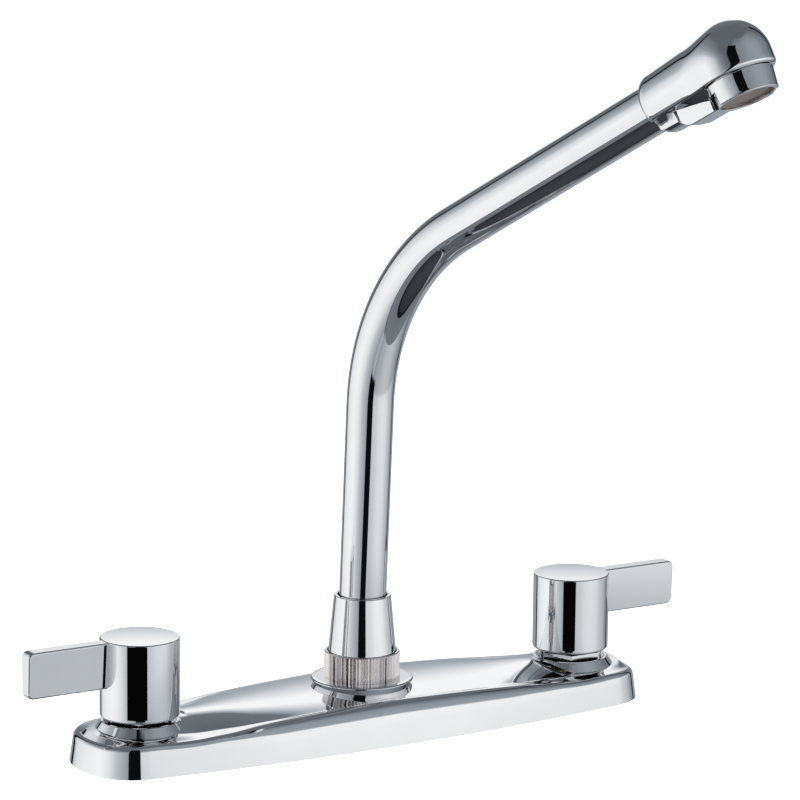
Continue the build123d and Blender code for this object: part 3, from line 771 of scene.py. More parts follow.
@dataclass
class Handle:
    """A lever handle: a round barrel with a flat blade pointing outwards.

    Sizes are in millimetres.
    """

    side: Side
    bottom: float
    radius: float = 15.75
    height: float = 32.0
    wall: float = 1.95
    top_wall: float = 4.0
    edge: float = 0.55
    foot_edge: float = 1.0
    crown: float = 0.45
    blade_draft: float = 2.5
    reach: float = 49.9
    blade_height: float = 18.6
    thickness: float = 6.5
    drop: float = 0.6
    corner: float = 2.6
    bevel: float = 1.1
    socket: float = 6.5
    socket_foot: float = 8.0
    blade_root: float = 0.55
    crown_steps: int = 8

    def place(self) -> Matrix:
        """Where the handle's axis stands."""
        turn = Matrix.Rotation(0 if self.side is Side.COLD else pi, 4, "Z")
        return self.side.stand() @ turn

    def barrel(self) -> Thing:
        """The hollow barrel, closed at its top, with its stem socket.

        Returns:
            The barrel.
        """
        top = self.bottom + self.height
        roof = top - self.top_wall
        inner = self.radius - self.wall
        shares = (k / self.crown_steps for k in range(self.crown_steps))
        profile = rounded([
            *((self.radius * share, top - self.crown * share ** 2, 0) for share in shares),
            (self.radius, top - self.crown, self.edge),
            (self.radius, self.bottom, self.foot_edge),
            (inner, self.bottom, 0.35), (inner, roof, 0.8), (self.socket, roof, 0.4),
            (self.socket, self.bottom + self.socket_foot, 0.4),
            (0, self.bottom + self.socket_foot, 0)])
        return lathe(f"{self.side.label}_barrel", profile, 192, self.place())

    def blade(self) -> Thing:
        """The flat blade with rounded corners and soft edges.

        Returns:
            The blade.
        """
        top = self.bottom + self.height - self.drop
        low = top - self.blade_height
        start = self.radius * self.blade_root
        outline = rounded([
            (start, low, 0), (self.reach, low, self.corner), (self.reach, top, self.corner),
            (start, top, 0)], 8)
        mesh = bmesh.new()
        face = mesh.faces.new([mesh.verts.new((x * MM, -self.thickness / 2 * MM, z * MM))
                               for x, z in outline])
        out = bmesh.ops.extrude_face_region(mesh, geom=[face])
        moved = [v for v in out["geom"] if isinstance(v, bmesh.types.BMVert)]
        bmesh.ops.translate(mesh, verts=moved, vec=(0, self.thickness * MM, 0))
        for vert in mesh.verts:
            lean = tan(radians(self.blade_draft)) * (top * MM - vert.co.z)
            vert.co.y -= copysign(lean, vert.co.y)
        bmesh.ops.recalc_face_normals(mesh, faces=mesh.faces)
        rims = [e for e in mesh.edges
                if e.verts[0].co.y * e.verts[1].co.y > 0
                and not all(abs(v.co.x - start * MM) < 1e-7 for v in e.verts)]
        bmesh.ops.bevel(mesh, geom=rims, offset=self.bevel * MM, segments=5, profile=0.5,
                        affect="EDGES", clamp_overlap=True)
        bmesh.ops.transform(mesh, matrix=self.place(), verts=mesh.verts)
        made = from_bmesh(f"{self.side.label}_blade", mesh)
        made.data.set_sharp_from_angle(angle=radians(40))
        return made

    def build(self, shop: Workshop) -> None:
        """Build the handle, its large faces shading the soft edges beside them.

        Args:
            shop: The shared materials and geometry trees.
        """
        name = f"{self.side.label}_handle"
        blade = self.blade()
        whole = joined(f"{name}_casting", [self.barrel(), blade])
        modifier = whole.modifiers.new("weights", "WEIGHTED_NORMAL")
        modifier.mode, modifier.weight, modifier.keep_sharp = "FACE_AREA", 50, True
        put(whole, name, Slot.CHROME, shop, [name])


@dataclass
class SpoutTube:
    """The riser and arm, one bent tube. Sizes are in millimetres and degrees."""

    radius: float = 9.525
    wall: float = 1.2
    turn: float = 13.7
    foot: float = 12.6
    lean_height: float = 52.0
    lean: float = 2.4
    lean_radius: float = 200.0
    corner_height: float = 184.6
    rise: float = 29.4
    arm_length: float = 169.0
    bend_radius: float = 92.0
    in_head: float = 8.0
    around: int = 96

    @property
    def outward(self) -> Vector:
        """Level direction that the spout points in."""
        turn = radians(self.turn)
        return Vector((sin(turn), -cos(turn), 0))

    @property
    def across(self) -> Vector:
        """Level direction square to the spout."""
        turn = radians(self.turn)
        return Vector((-cos(turn), -sin(turn), 0))

    def corners(self) -> list[Vector]:
        """The corners of the centre line, in millimetres.

        Returns:
            Foot, end of the upright run, bend and arm's end.
        """
        reach = (self.corner_height - self.lean_height) * tan(radians(self.lean))
        rise = radians(self.rise)
        corner = self.outward * reach + Vector((0, 0, self.corner_height))
        way = self.outward * cos(rise) + Vector((0, 0, sin(rise)))
        return [Vector((0, 0, self.foot)), Vector((0, 0, self.lean_height)), corner,
                corner + way * (self.arm_length + self.in_head)]

    def centre_line(self) -> list[tuple[Vector, Vector]]:
        """Points and directions along the tube, close together in the bends.

        Returns:
            A place and a direction for each ring of the tube.
        """
        stops = self.corners()
        out = [(stops[0], (stops[1] - stops[0]).normalized())]
        for i, radius in ((1, self.lean_radius), (2, self.bend_radius)):
            here = stops[i]
            a, b = ((stops[j] - here).normalized() for j in (i - 1, i + 1))
            half, cut, centre = corner_arc(a, b, radius)
            centre += here
            u = (here + a * cut) - centre
            axis = u.cross((here + b * cut) - centre).normalized()
            sweep = pi - 2 * half
            count = max(3, round(degrees(sweep)))
            for k in range(count + 1):
                spin = Matrix.Rotation(sweep * k / count, 3, axis)
                out.append((centre + spin @ u, spin @ -a))
        out.append((stops[-1], (stops[-1] - stops[-2]).normalized()))
        return out

    def build(self, shop: Workshop) -> None:
        """Sweep the tube's wall along its centre line.

        Args:
            shop: The shared materials and geometry trees.
        """
        line = self.centre_line()
        rows = [(p, t, self.radius) for p, t in line]
        rows += [(p, t, self.radius - self.wall) for p, t in reversed(line)]
        points = []
        for p, t, radius in rows:
            other = t.cross(self.across).normalized()
            for k in range(self.around):
                x, y = polar(radius, tau * k / self.around)
                points.append((p + self.across * x + other * y) * MM)
        made = object_from("spout_tube_swept", points, skin(len(rows), self.around, True))
        put(clean(made), "spout", Slot.CHROME, shop, ["spout_tube"], sharp=50)


@dataclass
class Ferrule:
    """The tapered cover round the foot of the riser."""

    foot_radius: float = 13.75
    tip_radius: float = 11.5
    foot: float = 31.5
    top: float = 55.1
    bore: float = 9.575
    mouth: float = 10.125
    mouth_depth: float = 8.5
    edge: float = 0.4

    def build(self, shop: Workshop) -> None:
        """Turn the ferrule.

        Args:
            shop: The shared materials and geometry trees.
        """
        profile = rounded([
            (self.bore, self.foot, 0), (self.foot_radius, self.foot, self.edge),
            (self.tip_radius, self.top, self.edge), (self.mouth, self.top, 0.15),
            (self.mouth, self.top - self.mouth_depth, 0),
            (self.bore, self.top - self.mouth_depth, 0)])
        made = lathe("ferrule_turned", profile, 160, loop=True)
        put(made, "spout", Slot.CHROME, shop, ["ferrule"], sharp=35)


def smooth_step(value: float, low: float, high: float) -> float:
    """Ease from 0 at low to 1 at high."""
    share = max(0.0, min(1.0, (value - low) / (high - low)))
    return share * share * (3 - 2 * share)


def between(value: float, stops: Sequence[Point2]) -> float:
    """Read a smooth curve through (place, height) stops at a value.

    Args:
        value: Where to read it.
        stops: Stops in rising order.

    Returns:
        The height, from a monotone cubic between the stops.
    """
    if value <= stops[0][0]:
        return stops[0][1]
    if value >= stops[-1][0]:
        return stops[-1][1]
    slopes = [(b[1] - a[1]) / (b[0] - a[0]) for a, b in zip(stops, stops[1:])]
    lean = [0.0]
    for a, b in zip(slopes, slopes[1:]):
        lean.append(0.0 if a * b <= 0 else 2 * a * b / (a + b))
    lean.append(0.0)
    i = max(k for k in range(len(stops) - 1) if stops[k][0] <= value)
    (x0, z0), (x1, z1) = stops[i], stops[i + 1]
    step = x1 - x0
    t = (value - x0) / step
    return (z0 * (1 + 2 * t) * (1 - t) ** 2 + z1 * t * t * (3 - 2 * t)
            + step * (lean[i] * t * (1 - t) ** 2 - lean[i + 1] * t * t * (1 - t)))


@dataclass
class DeckPlate:
    """The chromed casting on the sink: walls, ledge, low vault, collars and flange.

    Sizes are in millimetres. The casting is the same on both sides of X and Y.
    """

    mid_half_width: float = 32.7
    tip_x: float = 128.1
    corner: Point2 = (120.0, 24.0)
    corner_radius: float = 20.0
    draft: float = 8.0
    wall: float = 2.5
    ledge: tuple[Point2, ...] = ((0, 17.1), (20, 16.7), (40, 16.0), (60, 14.9), (74, 13.6),
                                 (88, 13.0))
    crest: tuple[Point2, ...] = ((0, 19.0), (40, 18.4), (60, 18.1), (78, 17.8), (88, 17.0),
                                 (102, 14.2))
    foot: tuple[Point2, ...] = ((0, 25.0), (40, 24.2), (60, 22.2), (78, 17.6), (88, 16.9),
                                (102, 16.4))
    shoulder: tuple[Point2, ...] = ((0, 6.2), (50, 5.6), (80, 3.0), (90, 2.8))
    fall_start: float = 109.6
    tip_height: float = 10.6
    end_lift: float = 0.5
    end_slope: float = 0.2
    collar_foot: float = 20.1
    collar_rim: float = 15.4
    collar_top: float = 17.0
    recess: float = 14.2
    recess_floor: float = 14.5
    roof_under: float = 13.0
    neck_hole: float = 10.3
    flange_foot: float = 20.6
    flange_rim: float = 19.0
    flange_top: float = 21.2
    hub_hole: float = 12.8
    slope_start: float = 18.0
    slope_ease: float = 0.75
    crown_span: Point2 = (78.0, 98.0)
    crease: float = 0.15
    land_edge: Point2 = (17.0, 19.4)
    flange_low: float = 14.0
    flange_skirt: float = 3.2
    flange_bulge: float = 0.25
    flange_lip: float = 0.6
    flange_draw: float = 0.35
    flange_dip: float = 0.15
    collar_step: float = 0.2
    arc_steps: tuple[int, int, int] = (150, 26, 22)
    wall_steps: int = 4
    shoulder_steps: int = 12

    def arcs(self) -> list[tuple[Vector, float, float, float, int]]:
        """The side, corner and tip arcs of one quarter, with their steps.

        Returns:
            Centre, radius, first and last direction from +Y towards +X, and steps.
        """
        corner_x, corner_y = self.corner
        drop = self.mid_half_width - corner_y
        side_radius = (corner_x ** 2 + drop ** 2) / (2 * drop)
        side = Vector((0, self.mid_half_width - side_radius))
        tip_in = ((self.tip_x ** 2 - corner_x ** 2 - corner_y ** 2)
                  / (2 * (self.tip_x - corner_x)))
        tip = Vector((tip_in, 0))
        tip_radius = self.tip_x - tip_in
        # The corner's arc touches both: its centre is on two smaller circles.
        far, near = side_radius - self.corner_radius, tip_radius - self.corner_radius
        span = tip - side
        along = (far ** 2 - near ** 2 + span.length ** 2) / (2 * span.length)
        way = span.normalized()
        centre = side + way * along + Vector((way.y, -way.x)) * sqrt(far ** 2 - along ** 2)
        first, last = centre - side, centre - tip
        start, end = atan2(first.x, first.y), atan2(last.x, last.y)
        side_steps, corner_steps, tip_steps = self.arc_steps
        return [(side, side_radius, 0.0, start, side_steps),
                (centre, self.corner_radius, start, end, corner_steps),
                (tip, tip_radius, end, pi / 2, tip_steps)]

    def stations(self) -> list[tuple[Vector, Vector, Vector]]:
        """Base points, outward directions and inner ends, right round the plate.

        Returns:
            A base point, an outward direction and an inner end for each section.
        """
        quarter: list[tuple[Vector, Vector, Vector]] = []
        for number, (centre, radius, start, end, steps) in enumerate(self.arcs()):
            for k in range(0 if number == 0 else 1, steps + 1):
                angle = start + (end - start) * k / steps
                out = Vector((sin(angle), cos(angle)))
                inner_x = VALVE_X * (k / steps if number == 0 else 1.0)
                quarter.append((centre + out * radius, out, Vector((inner_x, 0))))
        whole = list(quarter)
        for flip_x, flip_y, part in ((1, -1, quarter[-2::-1]), (-1, -1, quarter[1:]),
                                     (-1, 1, quarter[-2:0:-1])):
            flip = Vector((flip_x, flip_y))
            whole += [(b * flip, o * flip, i * flip) for b, o, i in part]
        return whole

    def ledge_height(self, x: float, y: float) -> float:
        """Height of the ledge: flat, then crowned round the collars and down to the tips.

        Args:
            x: Place along the plate.
            y: Place across the plate.

        Returns:
            The height above the sink.
        """
        over = max(0.0, abs(x) - VALVE_X)
        away = max(hypot(over, y), 1e-6)
        slope = self.end_slope * (1 - self.slope_ease * over / away)
        crown = ((self.end_lift - slope * max(0.0, away - self.slope_start))
                 * smooth_step(abs(x), *self.crown_span))
        past = abs(x) - self.fall_start
        if past <= 0:
            return between(abs(x), self.ledge) + crown
        reach, drop = self.tip_x - self.fall_start, self.ledge[-1][1] - self.tip_height
        radius = (reach ** 2 + drop ** 2) / (2 * drop)
        return self.ledge[-1][1] - radius + sqrt(radius ** 2 - past ** 2) + crown

    def height(self, x: float, y: float) -> float:
        """Height of the top at a place inside the shoulder.

        Args:
            x: Place along the plate.
            y: Place across the plate.

        Returns:
            The height above the sink.
        """
        low = self.ledge_height(x, y)
        rise = ((between(abs(x), self.crest) - low)
                * (1 - (y / between(abs(x), self.foot)) ** 2))
        rise = (rise + hypot(rise, self.crease)) / 2
        reach = hypot(abs(x) - VALVE_X, y)
        top = low + rise * smooth_step(reach, self.recess + 0.3, self.collar_rim)
        # Under the collar's land the vault and the crown are taken down to its top.
        cut = 1 - smooth_step(reach, *self.land_edge)
        return top - cut * max(0.0, top - self.collar_top)

    def section(self, base: Vector, out: Vector, inner: Vector) -> list[tuple[Vector, Vector]]:
        """Points and directions from the sink up the wall and in to the middle.

        Args:
            base: Place on the plate's outline.
            out: Direction out of the outline there.
            inner: End of the section on the plate's middle line.

        Returns:
            Place and outward direction of each point.
        """
        draft = radians(self.draft)
        radius = between(abs(base.x), self.shoulder)
        # The shoulder's arc ends level with the ledge; its centre is found from there.
        inset = 0.0
        for _ in range(4):
            edge = base - out * inset
            top = self.ledge_height(edge.x, edge.y)
            wall_top = top - radius * (1 - sin(draft))
            inset = wall_top * tan(draft) + radius * cos(draft)
        centre_up = top - radius
        wall_height = centre_up + radius * sin(draft)
        stops = [(up * tan(draft), up, draft)
                 for up in (wall_height * k / self.wall_steps for k in range(self.wall_steps))]
        for k in range(self.shoulder_steps + 1):
            lean = draft + (pi / 2 - draft) * k / self.shoulder_steps
            stops.append((inset - radius * cos(lean), centre_up + radius * sin(lean),
                          lean))
        rows = []
        for into, up, lean in stops:
            place, way = base - out * into, out * cos(lean)
            rows.append((Vector((*place, up)), Vector((*way, sin(lean)))))
        start = base - out * inset
        reach = between(abs(start.x), self.foot)
        full = (start - inner).length
        # Points stand close together at the vault's foot, on both sides of the crease.
        marks = [full + (reach - full) * share for share in (0.25, 0.5, 0.75)]
        marks += [reach + gap for gap in (0.5, 0.25, 0.1, 0.0, -0.1, -0.25, -0.5, -1.0)]
        marks += [(reach - 1.0) * (1 - k / 20) for k in range(1, 21)]
        for mark in marks:
            place = inner + (start - inner) * (min(mark, full) / full)
            rows.append((Vector((*place, self.height(*place))), Vector((0, 0, 1))))
        return rows

    def shell(self) -> Thing:
        """The hollow plate, open underneath.

        Returns:
            The plate without its collars and flange.
        """
        outer, under = [], []
        stations = self.stations()
        for station in stations:
            rows = self.section(*station)
            outer += [place for place, _ in rows]
            under += [Vector((p.x - n.x * self.wall, p.y - n.y * self.wall,
                              max(0.0, p.z - n.z * self.wall) if i else 0.0))
                      for i, (p, n) in enumerate(rows)]
        count, shift = len(stations), len(outer)
        depth = shift // count
        faces = []
        for i in range(count):
            first, last = i * depth, (i + 1) % count * depth
            for k in range(depth - 1):
                a, b, c, d = first + k, last + k, last + k + 1, first + k + 1
                faces.append((a, b, c, d))
                faces.append((shift + d, shift + c, shift + b, shift + a))
            faces.append((first, shift + first, shift + last, last))
        return object_from("deck_shell", [p * MM for p in outer + under], faces)

    def collar(self, side: Side) -> Thing:
        """The raised ring round one valve.

        Args:
            side: Which valve it goes round.

        Returns:
            The ring.
        """
        under = self.roof_under - self.wall
        profile = rounded([
            (self.neck_hole, under, 0), (self.collar_foot - self.collar_step, under, 0),
            (self.collar_rim, self.collar_top, 0.3), (self.recess, self.collar_top, 0.25),
            (self.recess, self.recess_floor, 0.2), (self.neck_hole, self.recess_floor, 0.1)])
        return lathe(f"{side.label}_collar", profile, 192, side.stand(), loop=True)

    def flange(self) -> Thing:
        """The raised ring under the spout, with its undercut edge.

        Returns:
            The ring.
        """
        profile = rounded([
            (self.hub_hole, self.flange_low, 0),
            (self.flange_foot - self.flange_skirt, self.flange_low, 0),
            (self.flange_foot + self.flange_bulge, self.flange_top - self.flange_lip, 0.4),
            (self.flange_foot - self.flange_draw, self.flange_top - self.flange_dip, 0.3),
            (self.flange_rim, self.flange_top, 0.5), (self.hub_hole, self.flange_top, 0.2)])
        return lathe("spout_flange", profile, 192, loop=True)

    def build(self, shop: Workshop) -> None:
        """Build the casting.

        Args:
            shop: The shared materials and geometry trees.
        """
        whole = joined("deck_plate_casting", [
            clean(self.shell()), self.collar(Side.HOT), self.collar(Side.COLD), self.flange()])
        put(whole, "faucet_body", Slot.CHROME, shop, ["deck_plate"], sharp=38)


@dataclass
class SpoutHead:
    """The casting at the arm's end: sleeve, domed elbow, hips, lug and two coves.

    Its own frame has X along the arm, Y across it and Z towards the outlet.
    Sizes are in millimetres.
    """

    tube: SpoutTube
    end_radius: float = 11.4
    end_round: float = 4.0
    radius: float = 12.3
    flare_start: float = 24.0
    flare_radius: float = 13.2
    dome_radius: float = 14.7
    outlet: float = 38.4
    underside: float = 6.6
    crease: float = 0.45
    bead: float = 1.9
    bead_span: Point2 = (0.1, 0.9)
    lug_start: float = 9.2
    lug_half: float = 5.5
    lug_drop: float = 14.4
    lug_nose: float = 7.8
    lug_round: float = 6.0
    hip_half: float = 5.8
    hip_drop: float = 10.0
    hip_end: float = 30.0
    pocket: float = 13.3
    cove_half: float = 5.7
    cove_corner: float = 10.3
    cove_taper: float = 3.2
    cove_inside: tuple[Point2, ...] = ((0, 3.0), (6.2, 3.0), (6.6, 4.5))
    cove_heights: Point3 = (6.35, 6.86, 10.72)
    cove_taper_from: float = 5.5
    face_edges: Point3 = (0.02, 0.04, 0.06)
    straight_from: float = 18.0
    sleeve_edge: float = 0.3
    spigot_wall: tuple[float, ...] = (8.6, 10.9, 5.0, 10.8)
    crown_steps: int = 24
    side_steps: int = 8
    edge_steps: int = 7
    lug_root: float = 3.0
    lug_crowd: float = 1.4
    root_share: float = 0.7
    edge_inset: float = 0.3
    root_inset: float = 0.15
    keel: float = 0.25
    lug_steps: int = 28

    def place(self) -> Matrix:
        """The head's frame, in metres, with its origin where the sleeve starts.

        Returns:
            The frame as a matrix.
        """
        rise = radians(self.tube.rise)
        up = Vector((0, 0, 1))
        along = self.tube.outward * cos(rise) + up * sin(rise)
        down = self.tube.outward * sin(rise) - up * cos(rise)
        seam = self.tube.corners()[3] - along * self.tube.in_head
        turn = Matrix((along, self.tube.across, down)).transposed().to_4x4()
        return Matrix.Translation(seam * MM) @ turn

    def outer(self, along: float) -> float:
        """Radius of the turned outside at a place along the arm.

        Args:
            along: Place along the arm.

        Returns:
            The radius.
        """
        if along < self.end_round:
            share = 1 - along / self.end_round
            return self.radius - (self.radius - self.end_radius) * share ** 2.6
        if along < self.flare_start:
            return self.radius + ((self.flare_radius - self.radius) * (along - self.end_round)
                                  / (self.flare_start - self.end_round))
        if along < self.outlet:
            slope = (self.flare_radius - self.radius) / (self.flare_start - self.end_round)
            step = self.outlet - self.flare_start
            t = (along - self.flare_start) / step
            return (self.flare_radius * (1 + 2 * t) * (1 - t) ** 2
                    + self.dome_radius * t * t * (3 - 2 * t) + slope * step * t * (1 - t) ** 2)
        return sqrt(max(0.0, self.dome_radius ** 2 - (along - self.outlet) ** 2))

    def half_section(self, along: float, turn: float) -> list[Vector]:
        """Half of one section of the body, from its top round to its middle line.

        Args:
            along: Place along the arm, up to the outlet's axis.
            turn: Angle past that axis, in radians, for sections of the dome.

        Returns:
            Points in the head's frame.
        """
        radius = self.dome_radius * cos(turn) if turn else self.outer(along)
        straight = 1.0 if turn else smooth_step(along, self.straight_from, self.outlet)
        place = self.outlet + self.dome_radius * sin(turn) if turn else along
        edge = self.crease + (self.bead - self.crease) * smooth_step(turn, *self.bead_span)
        if along == 0:
            edge = self.sleeve_edge

        def side(low: float) -> float:
            """Half width at a depth, from round to straight sided towards the outlet."""
            return sqrt(max(0.0, radius ** 2 - (1 - straight) * low ** 2))

        out = [Vector((place, radius * sin(a), -radius * cos(a)))
               for a in (pi / 2 * k / self.crown_steps for k in range(self.crown_steps + 1))]
        low = self.underside - edge
        out += [Vector((place, side(drop), drop))
                for drop in (low * k / self.side_steps for k in range(1, self.side_steps + 1))]
        rim = side(low)
        for k in range(1, self.edge_steps + 1):
            bend = pi / 2 * k / self.edge_steps
            inset = edge * (1 - cos(bend))
            drop = low + edge * sin(bend)
            if turn:
                reach = self.dome_radius - inset
                out.append(Vector((self.outlet + reach * sin(turn),
                                   reach * cos(turn), drop)))
            else:
                rim = side(drop) if straight < 1 else rim
                out.append(Vector((place, rim - inset, drop)))
        last = out[-1].copy()
        middle = Vector((min(along, self.outlet), 0, self.underside))
        return out + [last.lerp(middle, k / 6) for k in range(1, 7)]

    def half_width(self, along: float) -> float:
        """Half width of the flat underside at a place along the arm."""
        return self.half_section(along, 0.0)[
            self.crown_steps + self.side_steps + self.edge_steps].y

    def mirrored(self, name: str, halves: Sequence[Sequence[Vector]],
                 capped: bool = True) -> Thing:
        """Loft half sections into one closed piece, the same on both sides.

        Args:
            name: The piece's name.
            halves: Half sections in the head's frame, from first to last.
            capped: True to close both ends with flat faces.

        Returns:
            The lofted piece.
        """
        place, points, size = self.place(), [], 2 * len(halves[0])
        for half in halves:
            ring = list(half) + [Vector((p.x, -p.y, p.z)) for p in reversed(half)]
            points += [place @ (p * MM) for p in ring]
        faces = skin(len(halves), size)
        for first in (0, (len(halves) - 1) * size) if capped else ():
            faces += [(first + k, first + k + 1, first + size - 2 - k, first + size - 1 - k)
                      for k in range(size // 2 - 1)]
        return clean(object_from(name, points, faces), 2e-6)

    def body(self) -> Thing:
        """The sleeve and the dome, flat underneath.

        Returns:
            The body.
        """
        rows = [(self.end_round * (k / 10) ** 1.6, 0.0) for k in range(11)]
        rows += [(self.end_round + (self.outlet - self.end_round) * k / 40, 0.0)
                 for k in range(1, 41)]
        rows += [(self.outlet, pi / 2 * k / 40) for k in range(1, 41)]
        halves = [self.half_section(*row) for row in rows]
        cap = [Vector((0, p.y * 0.8, p.z * 0.8)) for p in halves[0]]
        return self.mirrored("head_body", [[Vector((0, 0, 0))] * len(cap), cap] + halves, False)

    def cove(self) -> Thing:
        """The sleeve's bottom, with a hollow cove down each of its sides.

        Returns:
            The lofted piece.
        """
        sections = []
        for k in range(15):
            along = self.end_round * (k / 8) ** 1.6 if k < 8 else (
                self.end_round + (self.lug_start + 0.3 - self.end_round) * (k - 8) / 6)
            corner = self.cove_corner - self.cove_taper * smooth_step(
                along, self.cove_taper_from, self.lug_start)
            tip_at = self.cove_half + 0.3
            foot, bend, tip = (Vector(spot) for spot in zip(
                (corner, tip_at + 0.15 * (corner - tip_at), tip_at), self.cove_heights))
            half = [*self.cove_inside]
            half += [foot * (1 - t) ** 2 + bend * (2 * t * (1 - t)) + tip * t ** 2
                     for t in (j / 12 for j in range(13))]
            half += [(across, sqrt(self.radius ** 2 - across ** 2))
                     for across in (self.cove_half * (1 - j / 8) for j in range(9))]
            scale = self.outer(along) / self.radius
            sections.append([Vector((along, y * scale, z * scale)) for y, z in half])
        return self.mirrored("head_cove", sections)

    def lug(self) -> Thing:
        """The lug under the elbow, with its slanting side faces and the hips above them.

        Returns:
            The lofted piece.
        """
        stops = [self.hip_end, *(self.outlet - sqrt(self.pocket ** 2 - half ** 2)
                                 for half in (self.hip_half, self.lug_half, 0.0))]
        sections = []
        for k in range(self.lug_steps + 1):
            share = (k / self.lug_steps) ** self.lug_crowd
            wide_at, hip_at, low_at, middle_at = (
                self.lug_start + share * (stop - self.lug_start) for stop in stops)
            wide = self.half_width(wide_at)
            drop = self.lug_drop
            left = self.lug_start + self.lug_round - low_at
            if left > 0:
                drop -= (self.lug_drop - self.lug_nose) * (
                    1 - sqrt(1 - min(1.0, left / self.lug_round) ** 2))
            # The root starts inside the body and leaves its underside just short of the edge.
            half = [Vector((middle_at, 0, self.lug_root)),
                    Vector((wide_at, self.root_share * wide, self.lug_root)),
                    Vector((wide_at, wide - self.root_inset, self.underside - 0.2)),
                    Vector((wide_at, wide - self.edge_inset, self.underside + 0.02))]
            hip_up = self.underside + (self.hip_drop - self.underside) * share
            wall = (half[-1], Vector((hip_at, self.hip_half, hip_up)),
                    Vector((low_at, self.lug_half, drop)), Vector((middle_at, 0, drop + self.keel)))
            for near, a, b in zip(self.face_edges, wall, wall[1:]):
                half += [a.lerp(b, f) for f in (near, 0.25, 0.5, 0.75, 1 - near)]
            sections.append(half + [wall[-1]])
        return self.mirrored("head_lug", sections)

    def under(self) -> Matrix:
        """The frame of the outlet, in metres, on the head's middle line."""
        return self.place() @ Matrix.Translation((self.outlet * MM, 0, 0))

    def spigot(self) -> Thing:
        """The short outlet pipe that the aerator screws on.

        Returns:
            The pipe.
        """
        inner, outer, top, low = self.spigot_wall
        return lathe("head_spigot", rounded([
            (inner, top, 0), (outer, top, 0), (outer, low, 0.3), (inner, low, 0.2)]),
            96, self.under(), loop=True)

    def build(self, shop: Workshop) -> None:
        """Build the head and put it on the spout.

        Args:
            shop: The shared materials and geometry trees.
        """
        head = joined("spout_head_casting", [self.body(), self.cove(), self.lug(),
                                             self.spigot()])
        put(head, "spout", Slot.CHROME, shop, ["spout_head"], sharp=32)


@dataclass
class AeratorRing:
    """The ring screwed on the outlet, with two slots in its lip for a key."""

    head: SpoutHead
    top: float = 6.95
    top_radius: float = 12.9
    lip: float = 15.3
    lip_radius: float = 12.1
    lip_height: float = 1.0
    lip_round: float = 0.45
    mouth: float = 10.3
    bore: float = 10.95
    seat: float = 1.1
    slot_from: float = 10.2
    slot_radius: float = 11.05
    slot_half: float = 15.0
    slot_turn: float = 120.0

    def columns(self) -> list[tuple[float, bool]]:
        """Angles round the ring, with whether each one lies in a slot.

        Returns:
            An angle in degrees and a mark for each column of points.
        """
        out: list[tuple[float, bool]] = []
        half, steps = self.slot_half, 60
        for middle in (self.slot_turn, self.slot_turn + 180):
            out += [(middle + half * (k / 3 - 1), True) for k in range(7)]
            start, end = middle + half + 0.2, middle + 180 - half - 0.2
            out += [(start + (end - start) * k / steps, False) for k in range(steps + 1)]
        return out

    def build(self, shop: Workshop) -> None:
        """Build the ring on its axis.

        Args:
            shop: The shared materials and geometry trees.
        """
        place = self.head.under()
        outside = rounded([
            (self.bore, self.top, 0), (self.top_radius, self.top, 0.3),
            (self.lip_radius, self.lip - self.lip_height, 0.6),
            (self.lip_radius, self.lip, self.lip_round), (self.mouth, self.lip, 0.3),
            (self.mouth, self.lip - self.seat, 0.1), (self.bore, self.lip - self.seat, 0)])
        cut = max(i for i, (radius, height) in enumerate(outside)
                  if height < self.slot_from and radius > self.bore + 0.5)
        above, below = Vector(outside[cut]), Vector(outside[cut + 1])
        share = (self.slot_from - above.y) / (below.y - above.y)
        edge = above.x + (below.x - above.x) * share
        # The slot's roof is a thin step between two points close together.
        profile = [*outside[:cut + 1], (edge, self.slot_from),
                   (edge - 0.01, self.slot_from + 0.06), *outside[cut + 1:]]
        points, columns = [], self.columns()
        for angle, inside in columns:
            for i, (radius, height) in enumerate(profile):
                if inside and i > cut + 1:
                    radius = min(radius, self.slot_radius)
                spot = polar(radius, radians(angle))
                points.append(place @ (Vector((*spot, height)) * MM))
        ring = object_from("aerator_ring_turned", points, skin(len(columns), len(profile), True))
        put(clean(ring, 1e-7), "spout", Slot.CHROME, shop, ["aerator_housing"],
            sharp=30)


@dataclass
class AeratorScreen:
    """The wire screen in the ring's mouth, in its thin rim."""

    head: SpoutHead
    radius: float = 10.9
    top: float = 13.0
    bottom: float = 14.15
    rim: float = 0.9
    wire_radius: float = 0.18
    wires: int = 16
    wire_inset: float = 0.3
    wire_lift: float = 0.55

    def build(self, shop: Workshop) -> None:
        """Build the rim and weave the wires.

        Args:
            shop: The shared materials and geometry trees.
        """
        inner = self.radius - self.rim
        rim = lathe("screen_rim", rounded([
            (self.radius, self.top, 0.15), (self.radius, self.bottom, 0.15),
            (inner, self.bottom, 0.15), (inner, self.top, 0)]), 96, loop=True)
        screen = shop.trees["mesh"].grow(
            rim, "aerator_wire_screen", shop.screen_wire,
            {"Radius": (self.radius - self.wire_inset) * MM,
             "Height": (self.bottom - self.wire_lift) * MM,
             "Wire": self.wire_radius * MM, "Count": self.wires})
        screen.data.transform(self.head.under())
        put(screen, "spout", Slot.STEEL, shop, ["aerator_screen"],
            material=shop.screen_wire)


